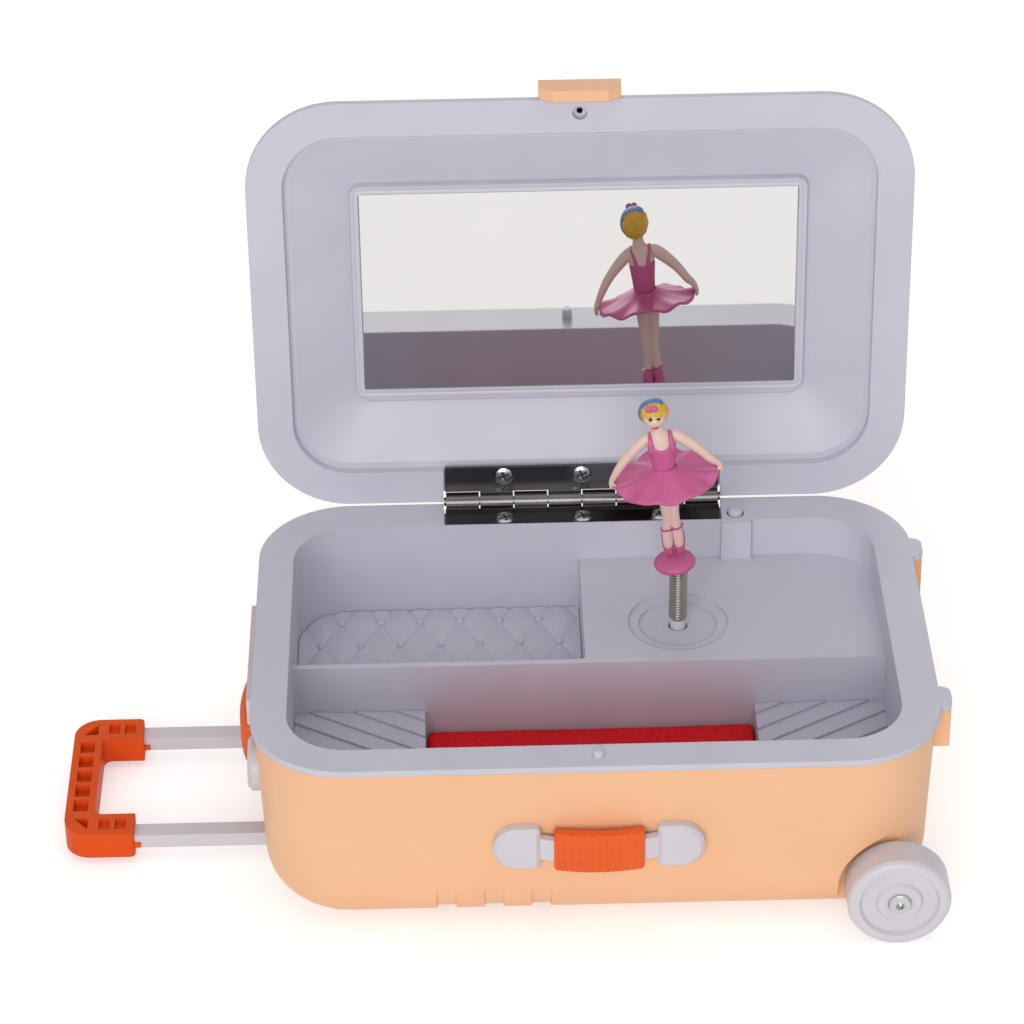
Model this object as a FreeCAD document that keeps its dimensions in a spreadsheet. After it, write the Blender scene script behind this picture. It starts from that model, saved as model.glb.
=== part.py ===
import FreeCAD, Part
import math
import os

import Sketcher

Vector = FreeCAD.Vector
Placement = FreeCAD.Placement
Rotation = FreeCAD.Rotation

doc = FreeCAD.newDocument("wind_up_music_box")

# Driving sizes in millimetres, degrees or counts. X runs along the case to the wheel end,
# Y to the hinge and Z up. The case stands on its wheels and two feet at z = 0.
SIZES = [
    ("case_length", 150.0, "rim length, end to end"),
    ("case_depth", 102.6, "rim depth, front to hinge side"),
    ("rim_corner", 21.0, "corner radius of the rim in plan"),
    ("rim_top", 47.2, "height of the rim's upper face"),
    ("rim_thick", 1.6, "thickness of the rim flange"),
    ("rim_lap", 0.9, "how far the rim stands out past the shell"),
    ("shell_under", 1.6, "height of the shell's underside"),
    ("shell_wall", 1.6, "wall of both shells"),
    ("shell_round", 12.0, "rounding along the shells' outer edges"),
    ("shell_draft", 2.0, "draft of the shell walls, degrees"),
    ("groove_first", -33.2, "middle of the first cross groove"),
    ("groove_pitch", 10.4, "spacing of the cross grooves"),
    ("groove_width", 4.2, "width of a cross groove"),
    ("groove_deep", 0.9, "depth of a cross groove"),
    ("tray_left", -67.0, "left wall inside the tray"),
    ("tray_right", 66.5, "right wall inside the tray"),
    ("tray_front", -43.5, "front wall inside the tray"),
    ("tray_back", 42.0, "back wall inside the tray"),
    ("tray_corner", 13.0, "inner corner radius of the tray"),
    ("tray_wall", 1.5, "wall of the tray"),
    ("divider_thick", 1.8, "thickness of the long divider"),
    ("platform_drop", 10.0, "platform and divider below the rim"),
    ("platform_left", -0.6, "left edge of the stage platform"),
    ("platform_thick", 3.0, "thickness of the stage platform"),
    ("quilt_drop", 24.0, "tufted floor below the rim"),
    ("step_drop", 22.5, "ribbed steps below the rim"),
    ("foam_half", 37.3, "half length of the foam well"),
    ("foam_drop", 27.0, "foam top below the rim"),
    ("foam_thick", 9.9, "thickness of the foam pad"),
    ("stage_x", 20.65, "turntable axis, along the case"),
    ("stage_y", 15.7, "turntable axis, front to back"),
    ("stage_ring", 11.4, "radius of the shallow stage ring"),
    ("stage_disc", 8.9, "radius of the deeper stage disc"),
    ("hinge_y", 51.6, "hinge axis, front to back"),
    ("hinge_lift", 0.4, "hinge axis above the rim, also the closed gap"),
    ("hinge_half", 32.0, "half length of the hinge"),
    ("knuckle_radius", 2.15, "outer radius of a hinge knuckle"),
    ("knuckle_count", 8, "number of hinge knuckles"),
    ("hinge_pin_radius", 1.0, "radius of the hinge pin"),
    ("leaf_thick", 0.9, "thickness of a hinge leaf"),
    ("leaf_reach", 9.0, "reach of a leaf from the hinge axis"),
    ("lid_lean", 2.74, "lean of the open lid past upright, degrees"),
    ("lid_deep", 13.5, "depth of the lid"),
    ("lid_round", 11.0, "rounding along the lid's outer edge"),
    ("lid_draft", 25.0, "slope of the lid's sides, degrees"),
    ("liner_thick", 1.5, "thickness of the lid liner"),
    ("mirror_length", 98.6, "length of the mirror"),
    ("mirror_height", 49.6, "height of the mirror"),
    ("mirror_deep", 8.6, "mirror face behind the liner's face"),
    ("latch_half", 9.15, "half width of the latch tab"),
    ("handle_front_drop", 21.4, "front handle below the rim"),
    ("handle_end_drop", 23.6, "end handle below the rim"),
    ("handle_cap_tall", 10.9, "height of a handle cap"),
    ("handle_cap_in", 12.6, "inner edge of a handle cap"),
    ("handle_cap_out", 22.9, "outer end of a handle cap"),
    ("handle_cap_proud", 3.2, "how far a handle cap stands out"),
    ("grip_half", 9.5, "half length of a carry grip"),
    ("grip_tall", 10.0, "height of a carry grip"),
    ("rail_out", 76.5, "outer face of the end rail"),
    ("rail_half", 18.3, "half length of the end rail"),
    ("rail_drop", 4.9, "top of the end rail below the rim"),
    ("rail_tall", 6.6, "height of the end rail"),
    ("wheel_x", 65.0, "wheel axis along the case"),
    ("wheel_radius", 11.3, "radius of a wheel"),
    ("wheel_face", 56.0, "outer face of a wheel from the middle"),
    ("wheel_thick", 9.4, "thickness of a wheel"),
    ("wheel_arch", 12.7, "radius of the wheel arch"),
    ("axle_radius", 1.5, "radius of a wheel axle"),
    ("rod_y", 18.16, "trolley rod from the middle"),
    ("rod_z", 5.2, "middle height of the trolley rods"),
    ("rod_wide", 4.15, "width of a trolley rod"),
    ("rod_tall", 3.4, "height of a trolley rod"),
    ("pull_left", -119.2, "outer edge of the trolley pull"),
    ("pull_right", -103.3, "inner ends of the trolley pull's arms"),
    ("pull_half", 21.5, "half width of the trolley pull"),
    ("pull_arm", 7.3, "width of an arm of the pull"),
    ("pull_bar", 6.6, "width of the pull's crossbar"),
    ("pull_tall", 6.7, "height of the trolley pull"),
    ("stop_x", 35.6, "stop plunger along the case"),
    ("stop_y", 44.7, "stop plunger front to back"),
    ("stop_radius", 1.65, "radius of the stop plunger"),
    ("post_radius", 1.8, "radius of the turntable post"),
    ("post_top", 38.2, "top of the turntable post"),
    ("coil_radius", 1.85, "mean radius of the figure's spring"),
    ("coil_wire", 0.25, "wire radius of the figure's spring"),
    ("coil_pitch", 0.95, "rise of the figure's spring per turn"),
    ("coil_turns", 12, "turns of the figure's spring"),
    ("figure_lean", 6.0, "lean of the figure to the left, degrees"),
    ("crown_teeth", 30, "face teeth on the main gear"),
    ("pinion_teeth", 15, "teeth on the cylinder pinion"),
    ("train_teeth", 40, "teeth on the train gear"),
    ("fan_teeth", 10, "teeth on the fan pinion"),
    ("comb_teeth", 18, "teeth of the comb"),
]

sheet = doc.addObject("Spreadsheet::Sheet", "Sizes")
for row, (alias, amount, note) in enumerate(SIZES, start=1):
    sheet.set(f"A{row}", note)
    sheet.set(f"B{row}", str(amount))
    sheet.setAlias(f"B{row}", alias)
doc.recompute()


class Size:
    """A length with its value and the sheet formula that gives it."""

    def __init__(self, value, text):
        self.value = float(value)
        self.text = text

    def __add__(self, other):
        other = as_size(other)
        return Size(self.value + other.value, f"({self.text} + {other.text})")

    def __sub__(self, other):
        other = as_size(other)
        return Size(self.value - other.value, f"({self.text} - {other.text})")

    def __mul__(self, factor):
        return Size(self.value * factor, f"({self.text} * {factor})")

    def __neg__(self):
        return Size(-self.value, f"(-1 * {self.text})")

    __radd__ = __add__

    def __rsub__(self, other):
        return as_size(other) - self


def as_size(amount):
    return amount if isinstance(amount, Size) else Size(amount, f"({amount})")


def size(alias):
    return Size(float(sheet.get(alias)), f"Sizes.{alias}")


def number(alias):
    return float(sheet.get(alias))


def bind(feature, prop, amount):
    """Bind one property of a feature to its sheet formula."""
    feature.setExpression(prop, as_size(amount).text)


nodes = {}


def node(name, feature):
    """Name a finished sub-part."""
    feature.Label = name
    nodes[name] = feature
    return feature


# Sketch helpers.

def new_body(name, frame=None):
    body = doc.addObject("PartDesign::Body", name)
    if frame is not None:
        body.Placement = frame
    return body


def new_sketch(body, role, lift=0):
    sketch = body.newObject("Sketcher::SketchObject", "outline")
    plane = next(f for f in body.Origin.OriginFeatures if f.Role == role)
    sketch.AttachmentSupport = [(plane, "")]
    sketch.MapMode = "FlatFace"
    bind(sketch, "AttachmentOffset.Base.z", lift)
    return sketch


def measure(sketch, kind, first, second, amount):
    """A driving dimension between two sketch points."""
    index = sketch.addConstraint(Sketcher.Constraint(kind, *first, *second, amount.value))
    sketch.setExpression(f"Constraints[{index}]", amount.text)


def hold(sketch, point, kind, amount):
    """Hold one coordinate of a sketch point at a size."""
    amount = as_size(amount)
    if abs(amount.value) < 1e-7:
        axis = -2 if kind == "DistanceX" else -1
        sketch.addConstraint(Sketcher.Constraint("PointOnObject", *point, axis))
    elif amount.value > 0:
        measure(sketch, kind, (-1, 1), point, amount)
    else:
        measure(sketch, kind, point, (-1, 1), -amount)


def draw_ring(sketch, x, y, radius):
    radius = as_size(radius)
    middle = Vector(as_size(x).value, as_size(y).value, 0)
    ring = sketch.addGeometry(Part.Circle(middle, Vector(0, 0, 1), radius.value))
    index = sketch.addConstraint(Sketcher.Constraint("Radius", ring, radius.value))
    sketch.setExpression(f"Constraints[{index}]", radius.text)
    hold(sketch, (ring, 3), "DistanceX", x)
    hold(sketch, (ring, 3), "DistanceY", y)


def draw_outline(sketch, points):
    """A closed outline of straight runs through points held at their sizes."""
    places = [Vector(as_size(x).value, as_size(y).value, 0) for x, y in points]
    count = len(points)
    first = None
    for i in range(count):
        run = sketch.addGeometry(Part.LineSegment(places[i], places[(i + 1) % count]))
        first = run if first is None else first
    for i in range(count):
        following = first + (i + 1) % count
        sketch.addConstraint(Sketcher.Constraint("Coincident", first + i, 2, following, 1))
        hold(sketch, (first + i, 1), "DistanceX", points[i][0])
        hold(sketch, (first + i, 1), "DistanceY", points[i][1])


def draw_rounded(sketch, x0, y0, x1, y1, radii):
    """A rectangle with its own radius at each corner, from the lower left round."""
    x0, y0, x1, y1 = [as_size(v) for v in (x0, y0, x1, y1)]
    radii = [as_size(r) for r in radii]
    a, b, c, d = [r.value for r in radii]
    left, low, right, high = x0.value, y0.value, x1.value, y1.value
    runs = [
        ((left + a, low), (right - b, low)),
        ((right, low + b), (right, high - c)),
        ((right - c, high), (left + d, high)),
        ((left, high - d), (left, low + a)),
    ]
    arcs = [
        ((right - b, low + b), b, 270),
        ((right - c, high - c), c, 0),
        ((left + d, high - d), d, 90),
        ((left + a, low + a), a, 180),
    ]
    ids = []
    for (start, end), (middle, radius, angle) in zip(runs, arcs):
        run = sketch.addGeometry(Part.LineSegment(Vector(*start, 0), Vector(*end, 0)))
        whole = Part.Circle(Vector(*middle, 0), Vector(0, 0, 1), radius)
        turn = Part.ArcOfCircle(whole, math.radians(angle), math.radians(angle + 90))
        ids.append((run, sketch.addGeometry(turn)))
    for i in range(4):
        run, turn = ids[i]
        following = ids[(i + 1) % 4][0]
        sketch.addConstraint(Sketcher.Constraint("Tangent", run, 2, turn, 1))
        sketch.addConstraint(Sketcher.Constraint("Tangent", turn, 2, following, 1))
        level = "Horizontal" if i % 2 == 0 else "Vertical"
        sketch.addConstraint(Sketcher.Constraint(level, run))
    for (run, turn), radius in zip(ids, (radii[1], radii[2], radii[3], radii[0])):
        index = sketch.addConstraint(Sketcher.Constraint("Radius", turn, radius.value))
        sketch.setExpression(f"Constraints[{index}]", radius.text)
    hold(sketch, (ids[0][0], 1), "DistanceY", y0)
    hold(sketch, (ids[1][0], 1), "DistanceX", x1)
    hold(sketch, (ids[2][0], 1), "DistanceY", y1)
    hold(sketch, (ids[3][0], 1), "DistanceX", x0)


def add_pad(body, sketch, length, reverse=False, draft=None):
    pad = body.newObject("PartDesign::Pad", "pad")
    pad.Profile = sketch
    bind(pad, "Length", length)
    pad.Reversed = reverse
    if draft is not None:
        bind(pad, "TaperAngle", draft)
    return pad


def add_pocket(body, sketch, length, reverse=False):
    pocket = body.newObject("PartDesign::Pocket", "pocket")
    pocket.Profile = sketch
    bind(pocket, "Length", length)
    pocket.Reversed = reverse
    return pocket


def round_edges(body, base, radius, chosen):
    """Round those edges of the last feature that a test picks."""
    doc.recompute()
    fillet = body.newObject("PartDesign::Fillet", "rounding")
    picked = [f"Edge{i}" for i, e in enumerate(base.Shape.Edges, start=1) if chosen(e.BoundBox)]
    fillet.Base = (base, picked)
    bind(fillet, "Radius", radius)
    return fillet


# Primitive helpers. A frame, where given, turns the piece with its assembly.

def set_place(feature, x, y, z, turn=None, frame=None):
    spot = Vector(*[as_size(v).value for v in (x, y, z)])
    local = Placement(spot, turn or Rotation())
    feature.Placement = local if frame is None else frame.multiply(local)
    if frame is None and turn is None:
        bind(feature, "Placement.Base.x", x)
        bind(feature, "Placement.Base.y", y)
        bind(feature, "Placement.Base.z", z)


def block(x0, y0, z0, x1, y1, z1, frame=None):
    solid = doc.addObject("Part::Box", "block")
    bind(solid, "Length", as_size(x1) - x0)
    bind(solid, "Width", as_size(y1) - y0)
    bind(solid, "Height", as_size(z1) - z0)
    set_place(solid, x0, y0, z0, frame=frame)
    return solid


TURNS = {
    "x": Rotation(Vector(0, 1, 0), 90),
    "y": Rotation(Vector(1, 0, 0), -90),
    "z": None,
}


def rod(x, y, z, radius, length, axis="z", frame=None):
    solid = doc.addObject("Part::Cylinder", "rod")
    bind(solid, "Radius", radius)
    bind(solid, "Height", length)
    set_place(solid, x, y, z, TURNS[axis], frame)
    return solid


def cone(x, y, z, radius0, radius1, length, frame=None):
    solid = doc.addObject("Part::Cone", "cone")
    bind(solid, "Radius1", radius0)
    bind(solid, "Radius2", radius1)
    bind(solid, "Height", length)
    set_place(solid, x, y, z, None, frame)
    return solid


def join(*pieces):
    if len(pieces) == 1:
        return pieces[0]
    whole = doc.addObject("Part::MultiFuse", "join")
    whole.Shapes = list(pieces)
    return whole


def take(base, *tools):
    left = doc.addObject("Part::Cut", "take")
    left.Base = base
    left.Tool = join(*tools)
    return left


def solid_of(shape, name, frame=None):
    """A shape that no primitive gives, as its own feature."""
    feature = doc.addObject("Part::Feature", name)
    feature.Shape = shape
    feature.Placement = frame or Placement()
    return feature


LENGTH = size("case_length")
DEPTH = size("case_depth")
RIM = size("rim_top")
LAP = size("rim_lap")
WALL = size("shell_wall")
UNDER = size("shell_under")
HALF_X = LENGTH * 0.5
HALF_Y = DEPTH * 0.5
STAGE_X = size("stage_x")
STAGE_Y = size("stage_y")
HINGE_Y = size("hinge_y")
HINGE_Z = RIM + size("hinge_lift")
ROUND = size("shell_round")
GROOVE_DEEP = size("groove_deep")

# The lid is drawn shut and swung back to its open rest about the hinge axis.
LID = Placement(
    Vector(),
    Rotation(Vector(1, 0, 0), -90 - number("lid_lean")),
    Vector(0, HINGE_Y.value, HINGE_Z.value),
)


def shell_block(name, inset, near, far, rounding, back, frame=None, draft="shell_draft"):
    """A drafted, rounded block that hangs from or stands on a rim plane."""
    body = new_body(name, frame)
    sketch = new_sketch(body, "XY_Plane", near)
    corner = size("rim_corner") - inset
    side = HALF_X - inset
    draw_rounded(sketch, -side, back - DEPTH + inset, side, back - inset, [corner] * 4)
    down = as_size(far).value < as_size(near).value
    length = as_size(near) - far if down else as_size(far) - near
    pad = add_pad(body, sketch, length, down, -size(draft))
    end = as_size(far).value
    round_edges(body, pad, rounding, lambda box: abs(box.ZMin - end) + abs(box.ZMax - end) < 0.01)
    return body


def cross_slots(z0, z1, frame=None):
    """Three bars that mark the cross grooves of a shell."""
    bars = []
    for i in range(3):
        x = size("groove_first") + size("groove_pitch") * i
        half = size("groove_width") * 0.5
        bars.append(block(x - half, -60, z0, x + half, 60, z1, frame))
    return join(*bars)


# Sizes of the tray, which the base shell has to clear.

LEFT = size("tray_left")
RIGHT = size("tray_right")
FRONT = size("tray_front")
BACK = size("tray_back")
TC = size("tray_corner")
TW = size("tray_wall")
DIV = size("divider_thick")
FOAM = size("foam_half")
FOAM_UNDER = RIM - size("foam_drop") - size("foam_thick") - 0.1
PLATFORM = RIM - size("platform_drop")
QUILT = RIM - size("quilt_drop")
STEP = RIM - size("step_drop")
STAGE_LEFT = size("platform_left")

# Base shell.

SHELL_TOP = RIM - size("rim_thick")
FLOOR = UNDER + WALL
base_outer = shell_block("base_outer", LAP, SHELL_TOP, UNDER, ROUND, HALF_Y)
base_core = shell_block("base_core", LAP + WALL, SHELL_TOP, FLOOR, ROUND - WALL, HALF_Y)
groove_core = shell_block("base_groove_core", LAP, SHELL_TOP, UNDER + GROOVE_DEEP, ROUND, HALF_Y)
base_groove = take(cross_slots(-1, UNDER + ROUND - 1), groove_core)

WHEEL_X = size("wheel_x")
WHEEL_R = size("wheel_radius")
FACE = size("wheel_face")
ARCH = size("wheel_arch")
HOUSE_IN = FACE - size("wheel_thick") - 0.8
HOUSE_WALL = HOUSE_IN - 3
HOUSE_TOP = WHEEL_R + ARCH + 1.8
HOUSE_LEFT = WHEEL_X - ARCH - 1.8
tray_room_rear = block(HOUSE_LEFT - 1, 0, QUILT - TW - 0.3, 81, BACK + TW + 0.3, HOUSE_TOP + 1)
tray_room_front = block(HOUSE_LEFT - 1, FRONT - TW - 0.3, STEP - TW - 0.3, 81, 0, HOUSE_TOP + 1)
housings = [
    take(block(HOUSE_LEFT, HOUSE_WALL, 0, 80, 60, HOUSE_TOP), tray_room_rear),
    take(block(HOUSE_LEFT, -60, 0, 80, -HOUSE_WALL, HOUSE_TOP), tray_room_front),
]
arches = []
for y0 in (HOUSE_IN, as_size(-64)):
    reach = 64 - HOUSE_IN
    arches.append(rod(WHEEL_X, y0, WHEEL_R, ARCH, reach, "y"))
    arches.append(block(WHEEL_X - ARCH, y0, -1, 82, y0 + reach, WHEEL_R))

CUP_R = 12.5
CUP_TOP = 12.0
ROD_Y = size("rod_y")
ROD_Z = size("rod_z")
ROD_W = size("rod_wide") * 0.5
ROD_T = size("rod_tall") * 0.5
SCREW_SPOTS = [(-52.0, -28.0), (-52.0, 28.0), (52.0, -28.0), (61.5, 33.0)]
BED_SPOTS = [(50.0, 6.0), (30.0, 36.5)]
posts = [rod(x, y, FLOOR - 0.4, 3.2, 12.2, "z") for x, y in SCREW_SPOTS]
bed_posts = [rod(x, y, FLOOR - 0.4, 2.8, CUP_TOP - FLOOR + 0.4) for x, y in BED_SPOTS]
feet = [rod(-44, y, 0, 4.0, UNDER + 0.6) for y in (-33, 33)]
tabs = []
for y in (-29, 29):
    tabs.append(block(70, y - 3.2, SHELL_TOP - 9.5, HALF_X + 2.2, y + 3.2, SHELL_TOP))

cavity = take(base_core, *housings)
hollow = take(base_outer, cavity)
bosses = take(join(*tabs), base_core)
cup = rod(STAGE_X, STAGE_Y, UNDER, CUP_R + 1.3, CUP_TOP - UNDER)
shell_solid = join(hollow, bosses, cup, *posts, *bed_posts, *feet)

rod_gap = 0.3
slots = []
for side in (-1, 1):
    middle = ROD_Y * side
    slots.append(block(-82, middle - ROD_W - rod_gap, ROD_Z - ROD_T - rod_gap,
                       -58, middle + ROD_W + rod_gap, ROD_Z + ROD_T + rod_gap))
drill = [rod(x, y, 0, 1.3, 40) for x, y in SCREW_SPOTS]
drill += [rod(x, y, 0, 2.7, FLOOR + 0.5) for x, y in SCREW_SPOTS]
drill += [rod(x, y, 5, 0.9, 20) for x, y in BED_SPOTS]
pin_holes = []
for y in (HOUSE_WALL - 0.5, -HOUSE_IN - 0.5):
    pin_holes.append(rod(WHEEL_X, y, WHEEL_R, size("axle_radius"), 4, "y"))
key_well = rod(STAGE_X, STAGE_Y, 0, CUP_R, CUP_TOP - 1.4)
key_hole = rod(STAGE_X, STAGE_Y, 5, 2.6, 10)
HINGE_HALF = size("hinge_half")
knuckle_room = block(-HINGE_HALF - 0.5, HINGE_Y - 2.9, RIM - 2.3, HINGE_HALF + 0.5, 60, RIM + 5)
base_shell = take(shell_solid, base_groove, *arches, *slots, *drill, *pin_holes,
                  key_well, key_hole, knuckle_room)
node("base_shell", base_shell)

# Tray: one moulding with the rim flange, the divided wells and the stage platform.

tray_body = new_body("tray_moulding")
sketch = new_sketch(tray_body, "XY_Plane", RIM)
draw_rounded(sketch, -HALF_X, -HALF_Y, HALF_X, HALF_Y, [size("rim_corner")] * 4)
add_pad(tray_body, sketch, size("rim_thick"), True)
sketch = new_sketch(tray_body, "XY_Plane", RIM)
draw_rounded(sketch, LEFT - TW, FRONT - TW, RIGHT + TW, BACK + TW, [TC + TW] * 4)
add_pad(tray_body, sketch, RIM - FOAM_UNDER + TW, True)
for y in (-29.0, 29.0):
    sketch = new_sketch(tray_body, "XY_Plane", RIM)
    draw_rounded(sketch, HALF_X - 4, y - 3.6, HALF_X + 2.5, y + 3.6, [0.5, 2.2, 2.2, 0.5])
    add_pad(tray_body, sketch, size("rim_thick"), True)
wells = [
    (LEFT, 0, RIGHT, BACK, [0.5, 0.5, TC, TC], PLATFORM),
    (LEFT, DIV, STAGE_LEFT - 0.4, BACK, [1.2, 1.2, 1.2, TC], QUILT),
    (LEFT, FRONT, RIGHT, 0.2, [TC, TC, 0.5, 0.5], STEP),
    (-FOAM, FRONT, FOAM, 0.2, [0.6] * 4, FOAM_UNDER),
]
for x0, y0, x1, y1, radii, floor in wells:
    sketch = new_sketch(tray_body, "XY_Plane", RIM)
    draw_rounded(sketch, x0, y0, x1, y1, radii)
    add_pocket(tray_body, sketch, RIM - floor)
BELOW = FOAM_UNDER - TW
unders = [
    (-80, TW, 80, 60, QUILT - TW),
    (-80, -60, -FOAM - TW, 3, STEP - TW),
    (FOAM + TW, -60, 80, 3, STEP - TW),
    (STAGE_LEFT + TW - 0.4, DIV, RIGHT - TW, BACK - TW, PLATFORM - size("platform_thick")),
]
for x0, y0, x1, y1, top in unders:
    sketch = new_sketch(tray_body, "XY_Plane", BELOW)
    draw_rounded(sketch, x0, y0, x1, y1, [0.5, 0.5, 0.5, 0.5])
    add_pocket(tray_body, sketch, top - BELOW, True)
for radius, deep in ((size("stage_ring"), 0.6), (size("stage_disc"), 1.2)):
    sketch = new_sketch(tray_body, "XY_Plane", PLATFORM)
    draw_ring(sketch, STAGE_X, STAGE_Y, radius)
    add_pocket(tray_body, sketch, deep)
sketch = new_sketch(tray_body, "XY_Plane", PLATFORM)
draw_ring(sketch, STAGE_X, STAGE_Y, size("post_radius") + 0.4)
add_pocket(tray_body, sketch, 8)

STOP_X = size("stop_x")
STOP_Y = size("stop_y")
STOP_R = size("stop_radius")
channel = join(
    block(STOP_X - 3.5, BACK - 1.6, PLATFORM - 1, STOP_X + 3.5, BACK + 1, RIM),
    rod(STOP_X, BACK - 1.6, PLATFORM + 2.5, 1.2, 2.6, "y"),
)
snap_pin = join(rod(0, -47.6, RIM - 1, 1.25, 2.0), cone(0, -47.6, RIM + 1, 1.25, 0.8, 0.5))
tray_bosses = [
    rod(x, y, top - 6.4, 2.6, 6.4 + 0.5)
    for (x, y), top in zip(SCREW_SPOTS, (STEP - TW, QUILT - TW, STEP - TW, PLATFORM - 3))
]
tray_bores = [rod(x, y, 4, 1.1, z - 4) for (x, y), z in
              zip(SCREW_SPOTS, (23.0, 22.0, 23.0, 34.0))]
leaf_room = block(-HINGE_HALF - 0.3, HINGE_Y - size("leaf_reach") - 0.2,
                  RIM - size("leaf_thick") - 0.05, HINGE_HALF + 0.3, 60, RIM + 5)
stop_bore = rod(STOP_X, STOP_Y, 10, STOP_R + 0.35, 60)
screw_pilots = [rod(x, HINGE_Y - 6.6, RIM - 4, 0.95, 4) for x in (-18.2, 0.0, 18.2)]

# The ribbed steps carry slanted rules, mirrored from left to right.
rules = []
for side in (-1, 1):
    for i in range(6):
        rule = doc.addObject("Part::Box", "rule")
        bind(rule, "Length", 60)
        bind(rule, "Width", 0.7)
        bind(rule, "Height", 2)
        middle = Vector(side * (46.8 - 9.77 * (i - 3)), -22, STEP.value - 0.45)
        turn = Rotation(Vector(0, 0, 1), side * 31.5)
        back = turn.multVec(Vector(-30, -0.35, 0))
        rule.Placement = Placement(middle + back, turn)
        rules.append(rule)
step_area = join(
    block(LEFT + 1.5, FRONT + 1.5, STEP - 2, -FOAM - 1, -1, STEP + 1),
    block(FOAM + 1, FRONT + 1.5, STEP - 2, RIGHT - 1.5, -1, STEP + 1),
)
rule_cut = doc.addObject("Part::Common", "rule_cut")
rule_cut.Base = join(*rules)
rule_cut.Tool = step_area
tray = take(join(tray_body, channel, snap_pin, *tray_bosses), *tray_bores, leaf_room,
            knuckle_room, stop_bore, *screw_pilots, rule_cut)
node("tray", tray)

# Foam pad in the front well, with a crowned top.
foam_block = block(-FOAM + 0.3, FRONT + 0.3, FOAM_UNDER + 0.1, FOAM - 0.3, -0.3,
                   RIM - size("foam_drop"))
doc.recompute()
foam = doc.addObject("Part::Fillet", "foam")
foam.Base = foam_block
foam_top = RIM.value - number("foam_drop")
foam.Edges = [
    (i, 1.4, 1.4)
    for i, edge in enumerate(foam_block.Shape.Edges, start=1)
    if edge.BoundBox.ZMin > foam_top - 0.01
]
node("foam_pad", foam)

# Hinge: two leaves with alternate knuckles round one pin, and six countersunk screws.

KNUCKLE = size("knuckle_radius")
PIN = size("hinge_pin_radius")
COUNT = int(number("knuckle_count"))
STEP_X = 2 * number("hinge_half") / COUNT


def hinge_leaf(parity, sign, face, frame):
    """One leaf: its plate, its own knuckles and their bridges."""
    inner = face - size("leaf_thick") if sign < 0 else face
    plate = block(-HINGE_HALF, HINGE_Y - size("leaf_reach"), inner,
                  HINGE_HALF, HINGE_Y - 2.6, inner + size("leaf_thick"), frame)
    pieces = [plate]
    for i in range(parity, COUNT, 2):
        x = -number("hinge_half") + i * STEP_X + 0.15
        pieces.append(rod(x, HINGE_Y, HINGE_Z, KNUCKLE, STEP_X - 0.3, "x", frame))
        pieces.append(block(x, HINGE_Y - 3.0, inner, x + STEP_X - 0.3, HINGE_Y - 1.4,
                            inner + size("leaf_thick"), frame))
    holes = [rod(-40, HINGE_Y, HINGE_Z, PIN + 0.05, 80, "x", frame)]
    for x in (-18.2, 0.0, 18.2):
        y = HINGE_Y - 6.6
        holes.append(rod(x, y, inner - 2, 1.3, 6, "z", frame))
        if sign < 0:
            holes.append(cone(x, y, face - 0.85, 1.3, 2.25, 0.86, frame))
        else:
            holes.append(cone(x, y, face - 0.01, 2.25, 1.3, 0.86, frame))
    return take(join(*pieces), *holes)


node("hinge_leaf_base", hinge_leaf(0, -1, RIM, None))
node("hinge_leaf_lid", hinge_leaf(1, 1, HINGE_Z, LID))
node("hinge_pin", rod(-HINGE_HALF - 0.4, HINGE_Y, HINGE_Z, PIN, HINGE_HALF * 2 + 0.8, "x"))


def hinge_screws(sign, face, frame):
    """Three flat-headed screws with crossed slots, flush in their leaf."""
    screws = []
    slots = []
    for x in (-18.2, 0.0, 18.2):
        y = HINGE_Y - 6.6
        if sign < 0:
            screws.append(cone(x, y, face - 0.84, 1.24, 2.16, 0.84, frame))
            screws.append(rod(x, y, face - 3.8, 0.9, 3.2, "z", frame))
        else:
            screws.append(cone(x, y, face, 2.16, 1.24, 0.84, frame))
            screws.append(rod(x, y, face + 0.6, 0.9, 3.2, "z", frame))
        for wide, tall in ((2.2, 0.5), (0.5, 2.2)):
            slots.append(block(x - wide / 2, y - tall / 2, face - 0.45,
                               x + wide / 2, y + tall / 2, face + 0.45, frame))
    return take(join(*screws), *slots)


node("hinge_screws_base", hinge_screws(-1, RIM, None))
node("hinge_screws_lid", hinge_screws(1, HINGE_Z, LID))

# Lid: shell with the latch tab, liner with the mirror seat, and the mirror.

LINER = size("liner_thick")
LID_NEAR = HINGE_Z + LINER
LID_FAR = HINGE_Z + size("lid_deep")
LID_ROUND = size("lid_round")
lid_outer = shell_block("lid_outer", LAP, LID_NEAR, LID_FAR, LID_ROUND, HINGE_Y, LID, "lid_draft")
lid_core = shell_block("lid_core", LAP + WALL, LID_NEAR, LID_FAR - WALL, LID_ROUND - WALL,
                       HINGE_Y, LID, "lid_draft")
lid_groove_core = shell_block("lid_groove_core", LAP + 0.5, LID_NEAR, LID_FAR - GROOVE_DEEP,
                              LID_ROUND, HINGE_Y, LID, "lid_draft")
lid_groove = take(cross_slots(LID_NEAR + 2.6, LID_FAR + 2, LID), lid_groove_core)
LATCH = size("latch_half")
LID_FRONT = HINGE_Y - DEPTH
latch_body = new_body("latch_tab", LID)
sketch = new_sketch(latch_body, "XZ_Plane", -LID_FRONT + 0.6)
draw_outline(sketch, [
    (-6.2, HINGE_Z - 3), (6.2, HINGE_Z - 3), (LATCH, HINGE_Z - 0.9), (LATCH, HINGE_Z + 3.0),
    (-LATCH, HINGE_Z + 3.0), (-LATCH, HINGE_Z - 0.9),
])
add_pad(latch_body, sketch, 2.8)
bridge = take(
    block(-LATCH, LID_FRONT - 1.2, HINGE_Z + LINER + 0.1, LATCH, LID_FRONT + 6, HINGE_Z + 3.0, LID),
    lid_core,
)
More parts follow.
